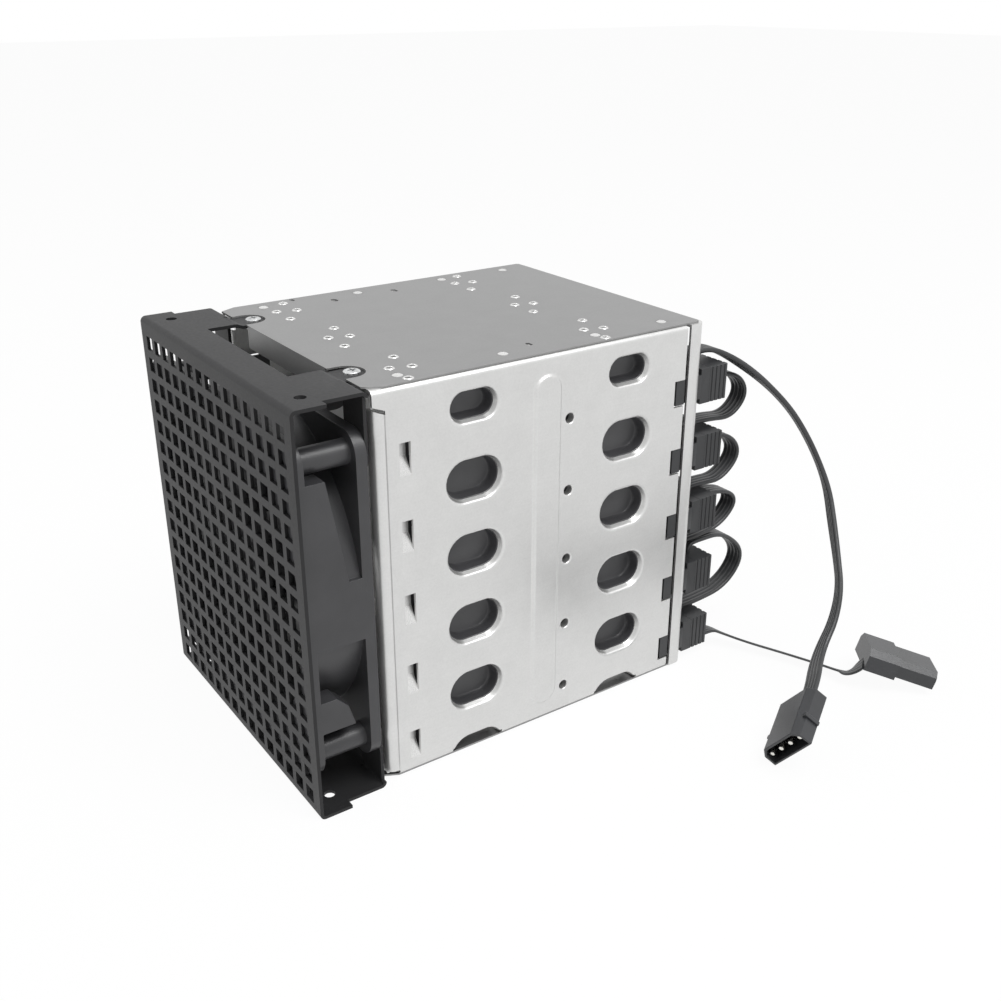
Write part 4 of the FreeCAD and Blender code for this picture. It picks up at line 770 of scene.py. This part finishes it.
def block(bm, low, high):
    """Plain block between two corners, to be joined to a moulding."""
    low, high = Vector(low), Vector(high)
    size = high - low
    place = Matrix.Translation((low + high) / 2) @ Matrix.Diagonal((*size, 1.0))
    return bmesh.ops.create_cube(bm, size=1.0, matrix=place)["verts"]


def set_down(bm, place):
    bmesh.ops.transform(bm, matrix=place, verts=bm.verts[:])
    bmesh.ops.recalc_face_normals(bm, faces=bm.faces[:])


def supply_plug():
    """Four-way shroud with an open mouth and a stop ridge on each edge."""
    place = connector_place(SUPPLY_END, PLUG_AXIS, PLUG_WIDTH_WAY, 3.5)
    bm = bmesh.new()
    mouth = chamfered_bar(bm, place, 20.0, 7.6, 2.6, 0.0, 24.0)
    bmesh.ops.inset_region(bm, faces=[mouth], thickness=1.1, depth=0.0)
    floor = extruded(bm, mouth)
    bmesh.ops.translate(bm, vec=Z * -12.0, verts=list(floor.verts))
    block(bm, (9.0, -3.75, 13.5), (10.9, 2.6, 15.3))
    block(bm, (-10.9, -3.75, 13.5), (-9.0, 2.6, 15.3))
    set_down(bm, place)
    body = soften(finished("supply_plug_moulded", bm, "plug_plastic", replaces=["supply_plug"]), 0.3)
    bm = bmesh.new()
    for number in range(4):
        foot = Vector(((number - 1.5) * 5.08, 0, 12.0))
        formed_ring(bm, foot, ((1.05, 0.0), (1.05, -10.2), (0.85, -10.7), (0.5, -10.9)), Z, 16, cap=True)
    set_down(bm, place)
    pins = finished("plug_pins_rounded", bm, "contact_metal", replaces=["plug_pins"])
    return [body, pins]


def tail_socket():
    """Stepped four-way connector with a cut edge, bored for its barrels."""
    place = connector_place(TAIL_END, TAIL_AXIS, TAIL_WIDTH_WAY, 4.0) @ Matrix.Rotation(math.pi, 4, "Z")
    bm = bmesh.new()
    chamfered_bar(bm, place, 20.6, 9.0, 2.6, 0.0, 12.5)
    nose = chamfered_bar(bm, place, 18.6, 7.0, 2.1, 12.4, 28.0)
    rim = list(nose.edges)
    bmesh.ops.delete(bm, geom=[nose], context="FACES_ONLY")
    for number in range(4):
        foot = Vector(((number - 1.5) * 5.08, 0, 28.0))
        rim += formed_ring(bm, foot, ((1.95, 0.0), (1.75, 0.2), (1.75, 1.0), (1.2, 1.05), (1.2, 8.0)), Z, 16,
                           cap=True)
    bmesh.ops.triangle_fill(bm, use_beauty=True, edges=rim, normal=Z)
    set_down(bm, place)
    body = soften(finished("tail_socket_moulded", bm, "plug_plastic", replaces=["tail_socket"]), 0.3)
    return [body, nodes["tail_contacts"]]


def connector_cap(number):
    """Clamp cap with fine upright gripping ribs on its outer end and its rear."""
    low, high = reach("connector_cap_%d" % number)
    corners = [Vector((low.x, low.y, low.z))]
    rear_ribs, side_ribs = 11, 4
    for rib in range(rear_ribs):
        x = low.x + 1.5 + rib * 2.9
        corners += [Vector((x, high.y, low.z)), Vector((x + 1.9, high.y, low.z)),
                    Vector((x + 2.1, high.y - 0.45, low.z)), Vector((x + 2.7, high.y - 0.45, low.z))]
    corners = corners[:-2] + [Vector((high.x, high.y - 0.6, low.z))]
    for rib in range(side_ribs):
        y = high.y - 1.6 - rib * 2.1
        corners += [Vector((high.x, y, low.z)), Vector((high.x - 0.4, y - 0.15, low.z)),
                    Vector((high.x - 0.4, y - 0.55, low.z)), Vector((high.x, y - 0.7, low.z))]
    corners += [Vector((high.x, low.y, low.z))]
    corners.insert(1, Vector((low.x, high.y - 0.9, low.z)))
    bm = bmesh.new()
    foot = bm.faces.new([bm.verts.new(corner) for corner in corners])
    top = extruded(bm, foot, keep=True)
    bmesh.ops.translate(bm, vec=Z * (high.z - low.z), verts=list(top.verts))
    bmesh.ops.recalc_face_normals(bm, faces=bm.faces[:])
    name = "connector_cap_%d" % number
    soften(finished(name + "_ribbed", bm, "connector_plastic", replaces=[name]), 0.15)


# ---- the whole cage ---------------------------------------------------------------------------
side_panels()
drive_pads()
mounting_plates()
bracket_screws()
fan_rotor()
ribbon_loops()
supply_pieces = supply_plug()
free_lead("supply_ribbon", SUPPLY_ROUTE, 2.0,
          ((0.0, X), (0.12, X), (0.26, EDGE_ON + SIDEWAYS * 0.15), (0.42, EDGE_ON + SIDEWAYS * 0.15),
           (0.55, EDGE_ON + SIDEWAYS * 0.3), (0.68, EDGE_ON + SIDEWAYS * 0.2), (1.0, PLUG_WIDTH_WAY)))
tail_pieces = tail_socket()
free_lead("tail_ribbon", TAIL_ROUTE, 1.0, ((0.0, X), (0.2, LAID), (0.85, LAID), (1.0, TAIL_WIDTH_WAY)))
for cap_number in range(1, DRIVES + 1):
    connector_cap(cap_number)
    dressed("connector_housing_%d" % cap_number, "connector_plastic", 0.25)
dressed("front_bracket", "black_steel", 0.18)
dressed("fan_frame", "fan_plastic", 0.3)
dressed("rear_frame", "zinc_steel", 0.2)

slot_of = {part["node"]: part["material_slot"] for part in frame["record"]["subparts"]}
for node_name, cad_node in nodes.items():
    cad_node.data.materials.clear()
    cad_node.data.materials.append(FINISHES[slot_of[node_name]])


# ---- floor, light and camera ------------------------------------------------------------------
def studio_white(name, shade):
    """White to the camera and in reflections, with the object's soft shadow kept."""
    material, tree, place = blank(name)
    paper = add(tree, "ShaderNodeTexNoise", {"Vector": place, "Scale": per_metre(3), "Detail": 2.0})
    colour = blend_colours(tree, paper.outputs["Fac"], 0.2, 0.8, "#f6f6f6", "#fafafa")
    matt = add(tree, "ShaderNodeBsdfDiffuse", {"Color": colour})
    glow = add(tree, "ShaderNodeEmission", {"Color": (1.0, 1.0, 1.0, 1.0), "Strength": 1.0})
    ray = add(tree, "ShaderNodeLightPath")
    seen = add(tree, "ShaderNodeMath", {0: ray.outputs["Is Camera Ray"], 1: ray.outputs["Is Glossy Ray"]},
               operation="MAXIMUM")
    seen = add(tree, "ShaderNodeMath", {0: seen.outputs["Value"], 1: ray.outputs["Is Transmission Ray"]},
               operation="MAXIMUM")
    share = add(tree, "ShaderNodeMath", {0: seen.outputs["Value"], 1: shade}, operation="MULTIPLY")
    mixed = add(tree, "ShaderNodeMixShader", {0: share.outputs["Value"], 1: matt.outputs["BSDF"],
                                              2: glow.outputs["Emission"]})
    add(tree, "ShaderNodeOutputMaterial", {"Surface": mixed.outputs["Shader"]})
    return material


def studio():
    """Pale floor, even surroundings and two soft lamps."""
    bm = bmesh.new()
    bmesh.ops.create_grid(bm, x_segments=2, y_segments=2, size=6.0)
    mesh = bpy.data.meshes.new("floor")
    bm.to_mesh(mesh)
    bm.free()
    mesh.materials.append(studio_white("white_paper_floor", 0.95))
    floor = bpy.data.objects.new("floor", mesh)
    bpy.context.scene.collection.objects.link(floor)
    world = bpy.data.worlds.new("studio")
    bpy.context.scene.world = world
    world.use_nodes = True
    tree = world.node_tree
    tree.nodes.clear()
    ray = add(tree, "ShaderNodeLightPath")
    seen = add(tree, "ShaderNodeMath", {0: ray.outputs["Is Camera Ray"], 1: ray.outputs["Is Glossy Ray"]},
               operation="MAXIMUM")
    seen = add(tree, "ShaderNodeMath", {0: seen.outputs["Value"], 1: ray.outputs["Is Transmission Ray"]},
               operation="MAXIMUM")
    strength = add(tree, "ShaderNodeMapRange", {"Value": seen.outputs["Value"], "To Min": 0.38, "To Max": 1.0})
    sky = add(tree, "ShaderNodeBackground", {"Color": (1.0, 1.0, 1.0, 1.0), "Strength": strength.outputs["Result"]})
    add(tree, "ShaderNodeOutputWorld", {"Surface": sky.outputs["Background"]})
    for name, place, size, watts in (("high_softbox", (0.62, 0.14, 1.2), 0.8, 13.0),
                                     ("left_softbox", (-0.5, -1.0, 0.8), 0.9, 4.0)):
        lamp = bpy.data.lights.new(name, "AREA")
        lamp.shape = "SQUARE"
        lamp.size = size
        lamp.energy = watts
        holder = bpy.data.objects.new(name, lamp)
        holder.location = place
        aim = Vector((0.0, 0.0, 0.07)) - Vector(place)
        holder.rotation_euler = aim.to_track_quat("-Z", "Y").to_euler()
        bpy.context.scene.collection.objects.link(holder)


def camera():
    lens = bpy.data.cameras.new("camera")
    lens.lens = 41.5
    lens.sensor_width = 36.0
    lens.clip_start = 0.01
    holder = bpy.data.objects.new("camera", lens)
    holder.location = (0.353576, -0.232097, 0.257355)
    holder.rotation_euler = (math.radians(65.928), 0.0, math.radians(55.264))
    bpy.context.scene.collection.objects.link(holder)
    bpy.context.scene.camera = holder


studio()
camera()
bpy.context.scene.view_settings.view_transform = "Standard"
